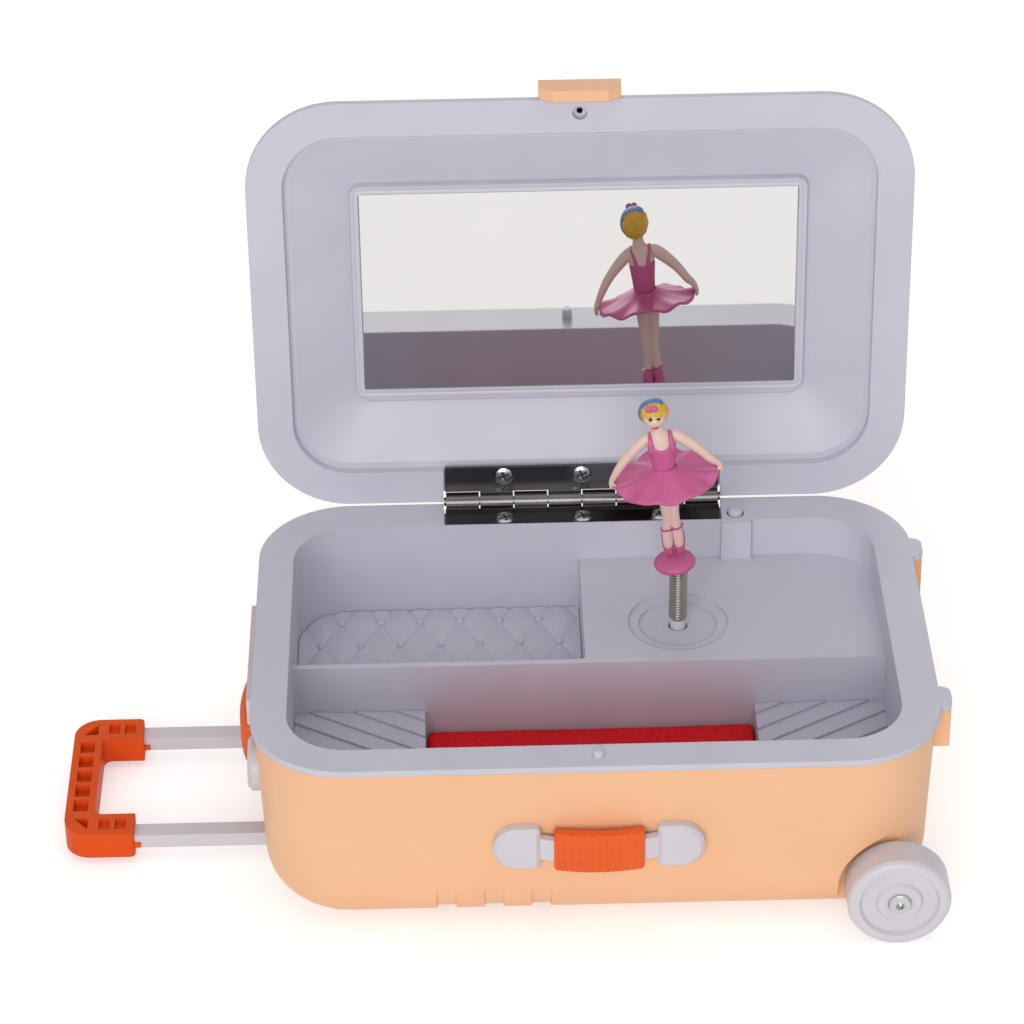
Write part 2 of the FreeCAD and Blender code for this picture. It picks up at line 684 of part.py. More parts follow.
knuckle_room_lid = block(-HINGE_HALF - 0.5, HINGE_Y - 2.9, HINGE_Z - 5, HINGE_HALF + 0.5, 60,
                         HINGE_Z + 2.7, LID)
lid_shell = take(join(take(lid_outer, lid_core), latch_body, bridge), lid_groove, knuckle_room_lid)
node("lid_shell", lid_shell)

MIRROR_X = size("mirror_length") * 0.5
MIRROR_Y = size("mirror_height") * 0.5
MIRROR_Z = HINGE_Z + size("mirror_deep")
LID_MID = HINGE_Y - HALF_Y
STEP_DEEP = 2.2
liner_body = new_body("liner_moulding", LID)
sketch = new_sketch(liner_body, "XY_Plane", HINGE_Z)
draw_rounded(sketch, -HALF_X, LID_FRONT, HALF_X, HINGE_Y, [size("rim_corner")] * 4)
add_pad(liner_body, sketch, LINER)
DISH_X = HALF_X - 8.2
DISH_Y = HALF_Y - 8.3


def dish_ring(z, x, y, corner):
    ring = new_sketch(liner_body, "XY_Plane", z)
    draw_rounded(ring, -x, LID_MID - y, x, LID_MID + y, [corner] * 4)
    return ring


def dish_loft(kind, near, far):
    loft = liner_body.newObject(kind, "dish")
    loft.Profile = near
    loft.Sections = [far]
    loft.Ruled = True
    return loft


add_pad(liner_body, dish_ring(HINGE_Z, DISH_X + 1.4, DISH_Y + 1.4, TC + 1.4), STEP_DEEP + 1.4)
dish_loft(
    "PartDesign::AdditiveLoft",
    dish_ring(HINGE_Z + STEP_DEEP + 1.3, DISH_X + 1.4, DISH_Y + 1.4, TC + 1.4),
    dish_ring(MIRROR_Z + 1.6, MIRROR_X + 5, MIRROR_Y + 5, 5.5),
)
add_pocket(liner_body, dish_ring(HINGE_Z, DISH_X, DISH_Y, TC), STEP_DEEP, True)
dish_loft(
    "PartDesign::SubtractiveLoft",
    dish_ring(HINGE_Z + STEP_DEEP - 0.01, DISH_X - 1.5, DISH_Y - 1.5, TC - 1.5),
    dish_ring(MIRROR_Z - 1.4, MIRROR_X + 3.2, MIRROR_Y + 3.2, 4.2),
)
bead = dish_ring(MIRROR_Z - 0.8, MIRROR_X + 2.6, MIRROR_Y + 2.6, 3.6)
add_pad(liner_body, bead, 1.4, True)
add_pocket(liner_body, dish_ring(MIRROR_Z - 4, MIRROR_X - 0.6, MIRROR_Y - 0.6, 1.6), 4.01, True)
add_pocket(liner_body, dish_ring(MIRROR_Z, MIRROR_X + 0.15, MIRROR_Y + 0.15, 1.2), 4, True)
liner_cuts = [
    block(-HINGE_HALF - 0.3, HINGE_Y - size("leaf_reach") - 0.2, HINGE_Z - 3, HINGE_HALF + 0.3, 60,
          HINGE_Z + size("leaf_thick") + 0.05, LID),
    knuckle_room_lid,
    rod(0, -47.6, HINGE_Z - 1, 1.65, 2.4, "z", LID),
    rod(0, -47.6, HINGE_Z - 1, 0.7, 6, "z", LID),
]
liner_cuts += [rod(x, HINGE_Y - 6.6, HINGE_Z, 0.95, 5, "z", LID) for x in (-18.2, 0.0, 18.2)]
node("lid_liner", take(liner_body, *liner_cuts))
mirror_body = new_body("mirror_sheet", LID)
sketch = new_sketch(mirror_body, "XY_Plane", MIRROR_Z + 0.02)
draw_rounded(sketch, -MIRROR_X, LID_MID - MIRROR_Y, MIRROR_X, LID_MID + MIRROR_Y, [1.0] * 4)
add_pad(mirror_body, sketch, 1.2)
node("mirror", mirror_body)

# Carry handles: grey caps and strap, with a ribbed grip over the strap.

CAP_T = size("handle_cap_tall")
CAP_IN = size("handle_cap_in")
CAP_OUT = size("handle_cap_out")
PROUD = size("handle_cap_proud")
GRIP = size("grip_half")
STRAP_BOW = 2.2


def arc_band(body, near, thick, half, rise):
    """A bowed band in plan, its ends at near and its middle risen outwards."""
    sketch = new_sketch(body, "XY_Plane", 0)
    radius = (half * half + rise * rise) / (2 * rise)
    spread = math.asin(half / radius)
    middle = Vector(0, -near - rise + radius, 0)
    outer = Part.Circle(middle, Vector(0, 0, 1), radius + thick / 2)
    inner = Part.Circle(middle, Vector(0, 0, 1), radius - thick / 2)
    start = -math.pi / 2 - spread
    end = -math.pi / 2 + spread
    arcs = [Part.ArcOfCircle(c, start, end) for c in (outer, inner)]
    a, b = [sketch.addGeometry(arc) for arc in arcs]
    for first, second in ((arcs[0].StartPoint, arcs[1].StartPoint),
                          (arcs[0].EndPoint, arcs[1].EndPoint)):
        sketch.addGeometry(Part.LineSegment(first, second))
    for run, point in ((2, 1), (3, 2)):
        sketch.addConstraint(Sketcher.Constraint("Coincident", run, 1, a, point))
        sketch.addConstraint(Sketcher.Constraint("Coincident", run, 2, b, point))
    return sketch


def carry_handle(name, frame, tall):
    """The caps, strap and grip of one handle, drawn at the front and turned into place."""
    caps = []
    for side in (-1, 1):
        body = new_body("handle_cap", frame)
        sketch = new_sketch(body, "XZ_Plane", -6)
        half = CAP_T * 0.5
        x0 = CAP_IN if side > 0 else -CAP_OUT
        x1 = CAP_OUT if side > 0 else -CAP_IN
        near = 1.2
        far = half - 0.05
        radii = [near, far, far, near] if side > 0 else [far, near, near, far]
        draw_rounded(sketch, x0, -half, x1, half, radii)
        pad = add_pad(body, sketch, PROUD + 6)
        doc.recompute()
        bevel = body.newObject("PartDesign::Chamfer", "bevel")
        edges = [f"Edge{i}" for i, e in enumerate(pad.Shape.Edges, start=1)
                 if e.BoundBox.YMax < -PROUD.value + 0.01]
        bevel.Base = (pad, edges)
        bevel.Size = 0.9
        caps.append(body)
    strap_body = new_body("handle_strap", frame)
    strap = add_pad(strap_body, arc_band(strap_body, 1.4, 1.7, 13.2, STRAP_BOW), 5.6)
    strap.Midplane = True
    bar = take(join(*caps, strap_body), base_outer)
    node(f"{name}_bar", bar)
    grip_body = new_body("handle_grip", frame)
    curve = (13.2 ** 2 + STRAP_BOW ** 2) / (2 * STRAP_BOW)
    drop = curve - math.sqrt(curve ** 2 - number("grip_half") ** 2)
    near = 1.4 + STRAP_BOW - drop
    grip_pad = add_pad(grip_body, arc_band(grip_body, near, 4.0, number("grip_half"), drop), tall)
    grip_pad.Midplane = True
    round_edges(grip_body, grip_pad, 1.1, lambda box: box.XLength > 5)
    core_body = new_body("handle_core", frame)
    core = add_pad(core_body, arc_band(core_body, 1.4, 1.76, 13.2, STRAP_BOW), 5.7)
    core.Midplane = True
    node(f"{name}_grip", take(grip_body, core_body))


FRONT_FACE = number("case_depth") / 2 - number("rim_lap") - 0.7
END_FACE = number("case_length") / 2 - number("rim_lap") - 0.4
carry_handle("front_handle", Placement(Vector(0, -FRONT_FACE, RIM.value - number("handle_front_drop")),
                                       Rotation()), size("grip_tall"))
carry_handle("end_handle", Placement(Vector(-END_FACE, 0, RIM.value - number("handle_end_drop")),
                                     Rotation(Vector(0, 0, 1), -90)), size("grip_tall"))

# Rail across the trolley end, under the rim.

rail_body = new_body("rail_bar")
sketch = new_sketch(rail_body, "XY_Plane", RIM - size("rail_drop"))
draw_rounded(sketch, -size("rail_out"), -size("rail_half"), -70, size("rail_half"), [0.5] * 4)
add_pad(rail_body, sketch, size("rail_tall"), True)
node("end_rail", take(rail_body, base_outer))

# Wheels on fixed axle pins.

WHEEL_T = size("wheel_thick")
AXLE = size("axle_radius")


def wheel(name, y, turn):
    frame = Placement(Vector(WHEEL_X.value, y, WHEEL_R.value), turn)
    body = new_body("wheel_moulding", frame)
    sketch = new_sketch(body, "YZ_Plane", 0)
    draw_outline(sketch, [
        (WHEEL_T, AXLE + 0.06), (WHEEL_T, WHEEL_R - 1.6), (WHEEL_T - 0.7, WHEEL_R - 0.5),
        (WHEEL_T - 1.6, WHEEL_R), (1.2, WHEEL_R), (0.4, WHEEL_R - 0.4), (0.0, WHEEL_R - 1.2),
        (0.0, WHEEL_R - 2.6), (1.0, WHEEL_R - 3.0), (1.0, 5.2), (0.3, 4.7), (0.3, AXLE + 0.06),
    ])
    turned = body.newObject("PartDesign::Revolution", "turned")
    turned.Profile = sketch
    turned.ReferenceAxis = (sketch, ["H_Axis"])
    turned.Angle = 360
    node(name, body)
    pin_body = new_body("axle_pin", frame)
    sketch = new_sketch(pin_body, "YZ_Plane", 0)
    reach = FACE - HOUSE_WALL
    draw_outline(sketch, [
        (-0.6, 0.95), (-0.6, 2.3), (-0.1, 2.6), (0.0, 2.6), (0.0, AXLE), (reach, AXLE),
        (reach, 0), (1.2, 0), (1.2, 0.95),
    ])
    turned = pin_body.newObject("PartDesign::Revolution", "turned")
    turned.Profile = sketch
    turned.ReferenceAxis = (sketch, ["H_Axis"])
    turned.Angle = 360
    node(name.replace("wheel", "axle_pin"), pin_body)


wheel("wheel_front", -FACE.value, Rotation())
wheel("wheel_rear", FACE.value, Rotation(Vector(0, 0, 1), 180))

# Trolley: two rods, their stop bar, the guide in the base and the open pull.

GUIDE_X0 = -62.0
GUIDE_X1 = -52.0
guide_block = block(GUIDE_X0, -ROD_Y - 5, FLOOR + 0.05, GUIDE_X1, ROD_Y + 5, ROD_Z + ROD_T + 2)
guide_gaps = [block(GUIDE_X0, -ROD_Y + 4.6, FLOOR - 1, GUIDE_X1, ROD_Y - 4.6, ROD_Z + ROD_T + 0.6)]
for side in (-1, 1):
    middle = ROD_Y * side
    guide_gaps.append(block(GUIDE_X0 - 1, middle - ROD_W - rod_gap, FLOOR - 1, GUIDE_X1 + 1,
                            middle + ROD_W + rod_gap, ROD_Z + ROD_T + rod_gap))
node("trolley_guide", take(guide_block, *guide_gaps))
for label, side in (("front", -1), ("rear", 1)):
    middle = ROD_Y * side
    node(f"trolley_rod_{label}", block(-107, middle - ROD_W, ROD_Z - ROD_T, -47.6,
                                       middle + ROD_W, ROD_Z + ROD_T))
middle_bar = block(-51.6, -ROD_Y + ROD_W, ROD_Z - ROD_T, -47.6, ROD_Y - ROD_W, ROD_Z + ROD_T)
node("trolley_stop", middle_bar)
PULL_L = size("pull_left")
PULL_R = size("pull_right")
PULL_H = size("pull_half")
PULL_LOW = ROD_Z - size("pull_tall") * 0.5
PULL_TOP = ROD_Z + size("pull_tall") * 0.5
pull_body = new_body("pull_moulding")
sketch = new_sketch(pull_body, "XY_Plane", PULL_LOW)
draw_rounded(sketch, PULL_L, -PULL_H, PULL_R, PULL_H, [6, 1.2, 1.2, 6])
add_pad(pull_body, sketch, size("pull_tall"))
sketch = new_sketch(pull_body, "XY_Plane", PULL_TOP)
INNER_H = PULL_H - size("pull_arm")
draw_rounded(sketch, PULL_L + size("pull_bar"), -INNER_H, PULL_R + 4, INNER_H, [2, 0.5, 0.5, 2])
add_pocket(pull_body, sketch, 20)
cells = []
CELL_Z = PULL_TOP - 2.2
for side in (-1, 1):
    y0 = INNER_H + 1.8 if side > 0 else -PULL_H + 1.8
    for x0 in (PULL_R - 4.4, PULL_R - 8.0):
        cells.append(block(x0, y0, PULL_TOP - 1.3, x0 + 2.5, y0 + size("pull_arm") - 3.6, PULL_TOP + 1))
bar_pitch = (2 * INNER_H.value - 1) / 5
for i in range(5):
    y0 = -INNER_H.value + 0.5 + i * bar_pitch + 0.7
    cells.append(block(PULL_L + 1.7, y0, CELL_Z, PULL_L + size("pull_bar") - 1.6,
                       y0 + bar_pitch - 1.4, PULL_TOP + 1))
for side in (-1, 1):
    corner_body = new_body("corner_cell")
    sketch = new_sketch(corner_body, "XY_Plane", CELL_Z)
    points = [(PULL_L + 5.4, PULL_H - 1.9), (PULL_L + 5.4, INNER_H + 1.5), (PULL_L + 2.2, INNER_H + 1.5)]
    draw_outline(sketch, [(x, y * side) for x, y in points])
    add_pad(corner_body, sketch, 4)
    cells.append(corner_body)
sockets = [
    block(-107.05, ROD_Y * side - ROD_W - 0.03, ROD_Z - ROD_T - 0.03, -100,
          ROD_Y * side + ROD_W + 0.03, ROD_Z + ROD_T + 0.03)
    for side in (-1, 1)
]
doc.recompute()
node("trolley_pull", take(pull_body, *cells, *sockets))

# Winding movement under the platform: bedplate, spring drum, crown gear on the winding arbor,
# pinned cylinder with its comb, and a train gear that drives the air-brake fan.

BED_Z = 12.0
BED_TOP = 14.0
SHAFT_Y = number("stage_y")
SHAFT_Z = 22.7
FAN_Y = SHAFT_Y - 10.0
AXIS = Vector(number("stage_x"), number("stage_y"), 0)

bed_body = new_body("bed_casting")
sketch = new_sketch(bed_body, "XY_Plane", BED_Z)
draw_rounded(sketch, 6, 3, 62, 40, [3, 3, 3, 3])
add_pad(bed_body, sketch, BED_TOP - BED_Z)
uprights = [block(x, 3.4, BED_TOP - 0.5, x + 1.4, 19, 27) for x in (34.0, 57.6)]
comb_seat = block(36.3, 31, BED_TOP - 0.5, 56.7, 38, 22.3)
bed_holes = [rod(STAGE_X, STAGE_Y, 10, 2.06, 6), rod(*SCREW_SPOTS[3], 10, 4.0, 6)]
bed_holes += [rod(x, y, 10, 1.2, 6) for x, y in BED_SPOTS]
bed_holes += [rod(30, SHAFT_Y, SHAFT_Z, 1.06, 40, "x"), rod(30, FAN_Y, SHAFT_Z, 0.66, 40, "x")]
COMB_SPOTS = [(41.0, 35.0), (52.0, 35.0)]
bed_holes += [rod(x, y, 15.5, 1.0, 10) for x, y in COMB_SPOTS]
node("bedplate", take(join(bed_body, *uprights, comb_seat), *bed_holes))
screws = []
for x, y in BED_SPOTS:
    screws += [rod(x, y, BED_TOP, 2.2, 1.3), rod(x, y, 6, 0.9, BED_TOP - 6 + 0.2)]
node("bed_screws", take(join(*screws), *[block(x - 2.5, y - 0.3, BED_TOP + 0.8, x + 2.5, y + 0.3, 17)
                                         for x, y in BED_SPOTS]))
screws = []
for (x, y), top in zip(SCREW_SPOTS, (22.0, 21.0, 22.0, 33.0)):
    screws += [rod(x, y, 1.9, 2.4, 1.5), rod(x, y, 3, 1.1, top - 3)]
node("base_screws", take(join(*screws), *[block(x - 1.5, y - 0.3, 1, x + 1.5, y + 0.3, 2.5)
                                          for x, y in SCREW_SPOTS]))

DRUM_R = 9.9
drum = join(
    rod(STAGE_X, STAGE_Y, 16.6, DRUM_R, 10.9),
    block(6.4, 13.7, 25.4, 14, 17.7, 27), block(6.4, 13.7, BED_TOP, 7.7, 17.7, 27),
    block(18.65, 24, 25.4, 22.65, 30.3, 27), block(18.65, 29, BED_TOP, 22.65, 30.3, 27),
)
node("spring_drum", take(drum, rod(STAGE_X, STAGE_Y, 16, DRUM_R - 0.8, 10.6),
                         rod(STAGE_X, STAGE_Y, 20, 2.06, 10)))

# Mainspring: one strip wound in half circles whose radius grows by half a turn's pitch.
strip = 0.35
pitch = 1.0
radius = 3.1
outer = []
inner = []
for i in range(11):
    sign = 1 if i % 2 == 0 else -1
    middle = Vector(0.0 if i % 2 == 0 else pitch / 2, 0, 0)
    for runs, r in ((outer, radius + strip / 2), (inner, radius - strip / 2)):
        runs.append(Part.Arc(middle + Vector(sign * r, 0, 0), middle + Vector(0, sign * r, 0),
                             middle + Vector(-sign * r, 0, 0)).toShape())
    radius += pitch / 2
ends = [Part.makeLine(inner[0].Vertexes[0].Point, outer[0].Vertexes[0].Point),
        Part.makeLine(inner[-1].Vertexes[-1].Point, outer[-1].Vertexes[-1].Point)]
loop = Part.Wire(Part.__sortEdges__(outer + inner + ends))
wound = Part.Face(loop).extrude(Vector(0, 0, 8.6))
node("mainspring", solid_of(wound, "mainspring", Placement(AXIS + Vector(0, 0, 17.4), Rotation())))

node("arbor", join(rod(STAGE_X, STAGE_Y, 4.5, 2.0, 28.5), rod(STAGE_X, STAGE_Y, 33, 1.0, 4.6)))
CROWN = int(number("crown_teeth"))
teeth = []
for i in range(CROWN):
    tooth = doc.addObject("Part::Box", "tooth")
    bind(tooth, "Length", 2.0)
    bind(tooth, "Width", 0.8)
    bind(tooth, "Height", 1.4)
    turn = Rotation(Vector(0, 0, 1), (i + 0.5) * 360.0 / CROWN)
    tooth.Placement = Placement(AXIS + turn.multVec(Vector(10.4, -0.4, 16.1)), turn)
    teeth.append(tooth)
disc = take(rod(STAGE_X, STAGE_Y, 14.3, 12.4, 1.9), rod(STAGE_X, STAGE_Y, 14, 2.0, 4))
node("main_gear", join(disc, *teeth))
KEY_Z = 6.3
wings = [rod(STAGE_X + dx, STAGE_Y - 0.9, KEY_Z, 3.9, 1.8, "y") for dx in (-6.4, 6.4)]
eyes = [rod(STAGE_X + dx, STAGE_Y - 2, KEY_Z, 1.7, 4, "y") for dx in (-6.4, 6.4)]
web = block(STAGE_X - 6, STAGE_Y - 0.9, KEY_Z - 1.8, STAGE_X + 6, STAGE_Y + 0.9, KEY_Z + 1.8)
hub = rod(STAGE_X, STAGE_Y, 3.4, 3.0, 6.6)
node("winding_key", take(join(*wings, web, hub), *eyes, rod(STAGE_X, STAGE_Y, 4.5, 2.0, 10)))
POST = size("post_radius")
post = rod(STAGE_X, STAGE_Y, 34.4, POST, size("post_top") - 34.4)
node("turntable_post", take(post, rod(STAGE_X, STAGE_Y, 34, 1.0, 3.6)))


def toothed(teeth, tip, root, share, start, x, length, y, z):
    """A toothed wheel on an axis along the case, its first tooth at a start angle."""
    points = []
    step = 2 * math.pi / teeth
    for i in range(teeth):
        middle = math.radians(start) + i * step
        half = share * step / 2
        for r, a in ((root, -1.25 * half), (tip, -0.6 * half), (tip, 0.6 * half), (root, 1.25 * half)):
            points.append(Vector(0, r * math.cos(middle + a), r * math.sin(middle + a)))
    face = Part.Face(Part.makePolygon(points + [points[0]]))
    wheel_solid = face.extrude(Vector(length, 0, 0))
    wheel_solid.translate(Vector(x, y, z))
    return wheel_solid


PINION = int(number("pinion_teeth"))
TRAIN = int(number("train_teeth"))
FAN = int(number("fan_teeth"))
barrel = Part.makeCylinder(6.2, 20.6, Vector(36.2, SHAFT_Y, SHAFT_Z), Vector(1, 0, 0))
shaft = Part.makeCylinder(1.0, 30.2, Vector(31.0, SHAFT_Y, SHAFT_Z), Vector(1, 0, 0))
pins = []
NOTES = int(number("comb_teeth"))
for i in range(NOTES):
    for j in range(3):
        angle = math.radians((i * 47 + j * 131) % 360)
        out = Vector(0, math.cos(angle), math.sin(angle))
        foot = Vector(37.1 + i * 1.1, SHAFT_Y, SHAFT_Z) + out * 6.0
        pins.append(Part.makeCylinder(0.2, 0.5, foot, out))
node("music_cylinder", solid_of(barrel.fuse([shaft] + pins), "music_cylinder"))
bore = Part.makeCylinder(1.0, 60, Vector(20, SHAFT_Y, SHAFT_Z), Vector(1, 0, 0))
node("cylinder_pinion", solid_of(
    toothed(PINION, 6.15, 4.9, 0.36, -90, 31.05, 2.0, SHAFT_Y, SHAFT_Z).cut(bore), "cylinder_pinion"))
node("train_gear", solid_of(
    toothed(TRAIN, 8.28, 7.55, 0.42, 180 + 180 / TRAIN, 59.5, 1.5, SHAFT_Y, SHAFT_Z).cut(bore),
    "train_gear"))
blades = [Part.makeBox(11, 5.6, 0.4, Vector(41, FAN_Y - 2.8, SHAFT_Z - 0.2)),
          Part.makeCylinder(0.6, 27, Vector(34.2, FAN_Y, SHAFT_Z), Vector(1, 0, 0)),
          toothed(FAN, 2.28, 1.55, 0.42, 0, 59.5, 1.5, FAN_Y, SHAFT_Z)]
node("brake_fan", solid_of(blades[0].fuse(blades[1:]), "brake_fan"))
comb_plate = block(36.4, 22.65, 22.3, 56.6, 38, 23.1)
comb_gaps = [block(37.4 + i * 1.1, 22, 22, 37.7 + i * 1.1, 31.8, 24) for i in range(NOTES - 1)]
comb_holes = [rod(x, y, 20, 1.2, 5) for x, y in COMB_SPOTS]
node("comb", take(comb_plate, *comb_gaps, *comb_holes))
screws = []
for x, y in COMB_SPOTS:
    screws += [rod(x, y, 23.1, 2.0, 1.2), rod(x, y, 16, 1.0, 7.2)]
node("comb_screws", take(join(*screws), *[block(x - 2.2, y - 0.3, 23.9, x + 2.2, y + 0.3, 25)
                                          for x, y in COMB_SPOTS]))
node("stop_plunger", join(
    rod(STOP_X, STOP_Y, 18.5, STOP_R, RIM + 0.8 - 18.5),
    cone(STOP_X, STOP_Y, RIM + 0.8, STOP_R, STOP_R - 0.5, 0.4),
    rod(STOP_X, STOP_Y, 18.5, 2.3, 2),
))

# Figure spring: a helix in quarter turns, each a pair of tangent arcs.

COIL_R = number("coil_radius")
COIL_PITCH = number("coil_pitch")
COIL_LOW = number("post_top") + number("coil_wire") + 0.05
COIL_TURNS = int(number("coil_turns"))


def helix_point(turn):
    angle = 2 * math.pi * turn
    spot = Vector(COIL_R * math.cos(angle), COIL_R * math.sin(angle), COIL_LOW + COIL_PITCH * turn)
    along = Vector(-COIL_R * math.sin(angle), COIL_R * math.cos(angle), COIL_PITCH / (2 * math.pi))
    return AXIS + spot, along.normalize()


def tangent_arc(start, corner, end):
    """The arc from start to end whose end tangents meet at corner."""
    middle = (start + end) * 0.5
    half = (end - start).Length / 2
    lean = math.acos(min(1.0, half / (corner - start).Length))
    rise = (corner - middle).normalize() * (half * math.tan(lean / 2))
    return Part.Arc(start, middle + rise, end).toShape()


runs = []
for i in range(COIL_TURNS * 4):
    (p0, t0), (p1, t1) = helix_point(i / 4), helix_point((i + 1) / 4)
    span = p1 - p0
    both = t0 + t1
    bend = 2 * (1 - t0.dot(t1))
    reach = (math.sqrt(span.dot(both) ** 2 + bend * span.dot(span)) - span.dot(both)) / bend
    q0 = p0 + t0 * reach
    q1 = p1 - t1 * reach
    joint = (q0 + q1) * 0.5
    runs += [tangent_arc(p0, q0, joint), tangent_arc(joint, q1, p1)]
first, along = helix_point(0)
section = Part.Wire([Part.makeCircle(number("coil_wire"), first, along)])
coil = Part.Wire(runs).makePipeShell([section], True, False)
samples = [helix_point(i / 24)[0] for i in range(COIL_TURNS * 24 + 1)]
least = min((samples[i] - samples[j]).Length
            for i in range(len(samples)) for j in range(i + 12, len(samples)))
print("least gap between spring curls", round(least - 2 * number("coil_wire"), 3))
node("figure_spring", solid_of(coil, "figure_spring"))

# Dancer: drawn upright on its dome, then leaned on the spring. Each piece is cut by its carrier.

COIL_TOP = COIL_LOW + COIL_PITCH * COIL_TURNS + number("coil_wire") + 0.05
FIGURE = Placement(AXIS + Vector(-0.3, 0, COIL_TOP), Rotation(Vector(0, 1, 0), -number("figure_lean")))


def oval_loft(sections):
    """A solid through level ovals given as height, half width and half depth."""
    rings = []
    for z, rx, ry in sections:
        if rx >= ry:
            oval = Part.Ellipse(Vector(0, 0, z), rx, ry).toShape()
        else:
            oval = Part.Ellipse(Vector(0, ry, z), Vector(rx, 0, z), Vector(0, 0, z)).toShape()
        rings.append(Part.Wire([oval]))
    return Part.makeLoft(rings, True)


def egg(x, y, z, rx, ry, rz):
    ball = Part.makeSphere(1.0)
    grow = FreeCAD.Matrix()
    grow.scale(rx, ry, rz)
    shaped = ball.transformGeometry(grow)
    shaped.translate(Vector(x, y, z))
    return shaped


def limb(points, radii):
    """A rounded limb through points, tapering between radii."""
    pieces = []
    for i, (spot, radius) in enumerate(zip(points, radii)):
        pieces.append(Part.makeSphere(radius, Vector(*spot)))
        if i:
            before = Vector(*points[i - 1])
            run = Vector(*spot) - before
            pieces.append(Part.makeCone(radii[i - 1], radius, run.Length, before, run))
    return pieces[0].fuse(pieces[1:])


dome = oval_loft([(0, 2.7, 2.7), (1.3, 3.7, 3.7), (2.6, 4.5, 4.5), (4.0, 4.75, 4.75),
                  (5.4, 4.3, 4.3), (6.6, 3.0, 3.0)])
legs = oval_loft([(6.0, 2.4, 2.0), (8.6, 2.55, 2.1), (12.4, 2.45, 1.9), (14.6, 2.15, 1.7),
                  (17.8, 1.95, 1.6), (20.5, 2.25, 1.8), (24.5, 2.7, 2.2), (27.0, 2.7, 2.2)]).cut(dome)
skirt = oval_loft([(24.7, 11.0, 8.6), (25.5, 11.5, 9.0), (26.4, 10.2, 8.0), (27.5, 6.6, 5.3),
                   (28.6, 3.9, 3.3), (29.4, 2.9, 2.5)])
skirt_hollow = oval_loft([(24.2, 10.3, 7.9), (24.9, 9.9, 7.6), (25.9, 6.6, 5.2), (26.8, 3.3, 2.7)])
skirt = skirt.cut(skirt_hollow).cut(legs)
bodice = oval_loft([(28.9, 2.8, 2.4), (31, 2.85, 2.4), (33.8, 3.2, 2.6), (36.5, 3.6, 2.6),
                    (38.5, 2.7, 1.9)]).cut(skirt).cut(legs)
arms = []
for side, hand in ((-1, 26.3), (1, 27.5)):
    points = [(side * 3.5, 0, 37.4), (side * 6.4, -0.3, 34.9), (side * 9.2, -0.4, 32.0),
              (side * 11.5, -0.2, hand + 1.9), (side * 12.4, 0, hand)]
    arms.append(limb(points, (1.25, 1.15, 1.05, 0.85, 1.0)))
arms = Part.makeCompound([a.cut(bodice).cut(skirt) for a in arms])
neck = Part.makeCylinder(1.3, 4, Vector(-0.6, 0, 37.4))
head = egg(-0.9, 0, 43.6, 2.95, 3.05, 3.65).fuse(neck).cut(bodice)
face_side = Part.makeBox(12, 10, 10, Vector(-6.9, -11.5, 34.6))
hair = egg(-1.1, 0.35, 44.2, 3.4, 3.5, 3.45).cut(face_side).cut(head).cut(bodice)
for name, shape in (("dancer_base", dome), ("dancer_legs", legs), ("dancer_skirt", skirt),
                    ("dancer_bodice", bodice), ("dancer_arms", arms), ("dancer_head", head),
                    ("dancer_hair", hair)):
    node(name, solid_of(shape, name, FIGURE))

# Check every feature and write each sub-part.
doc.recompute()
failed = [f"{o.Name} ({o.Label})" for o in doc.Objects
          if any(word in o.State for word in ("Invalid", "Error"))]
if failed:
    raise RuntimeError("failed features: " + ", ".join(failed))
for name, feature in nodes.items():
    if feature.Shape.isNull() or not feature.Shape.isValid() or not feature.Shape.Solids:
        raise RuntimeError("bad shape: " + name)
os.makedirs("parts", exist_ok=True)
for name, feature in nodes.items():
    feature.Shape.exportStep(os.path.join("parts", name + ".step"))
    print(name, len(feature.Shape.Solids), round(feature.Shape.Volume, 1))
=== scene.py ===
import math
import bmesh
import bpy
from mathutils import Matrix, Vector, noise


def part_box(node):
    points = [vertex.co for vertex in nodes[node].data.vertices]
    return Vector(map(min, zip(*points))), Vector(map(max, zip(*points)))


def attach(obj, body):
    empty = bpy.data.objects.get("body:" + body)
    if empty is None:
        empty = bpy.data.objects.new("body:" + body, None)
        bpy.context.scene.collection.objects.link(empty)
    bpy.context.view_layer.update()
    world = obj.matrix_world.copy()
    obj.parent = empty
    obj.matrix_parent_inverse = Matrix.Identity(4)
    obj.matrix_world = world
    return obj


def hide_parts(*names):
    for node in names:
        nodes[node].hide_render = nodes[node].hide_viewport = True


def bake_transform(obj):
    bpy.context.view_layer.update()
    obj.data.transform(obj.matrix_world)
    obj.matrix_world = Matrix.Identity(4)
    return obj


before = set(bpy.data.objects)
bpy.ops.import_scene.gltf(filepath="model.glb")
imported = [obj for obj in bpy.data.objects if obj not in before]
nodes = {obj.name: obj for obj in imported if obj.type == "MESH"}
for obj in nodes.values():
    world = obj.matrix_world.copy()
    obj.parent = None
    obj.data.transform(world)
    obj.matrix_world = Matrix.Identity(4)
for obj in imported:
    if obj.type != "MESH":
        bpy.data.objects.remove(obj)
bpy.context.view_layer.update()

MM = 0.001
# In metres: the radius of a moulded edge, and the depth of the grain on a surface.
EDGE = 0.0003
GRAIN_DEPTH = 0.0002

# Finishes. Each one varies in colour, gloss and fine relief over the piece.


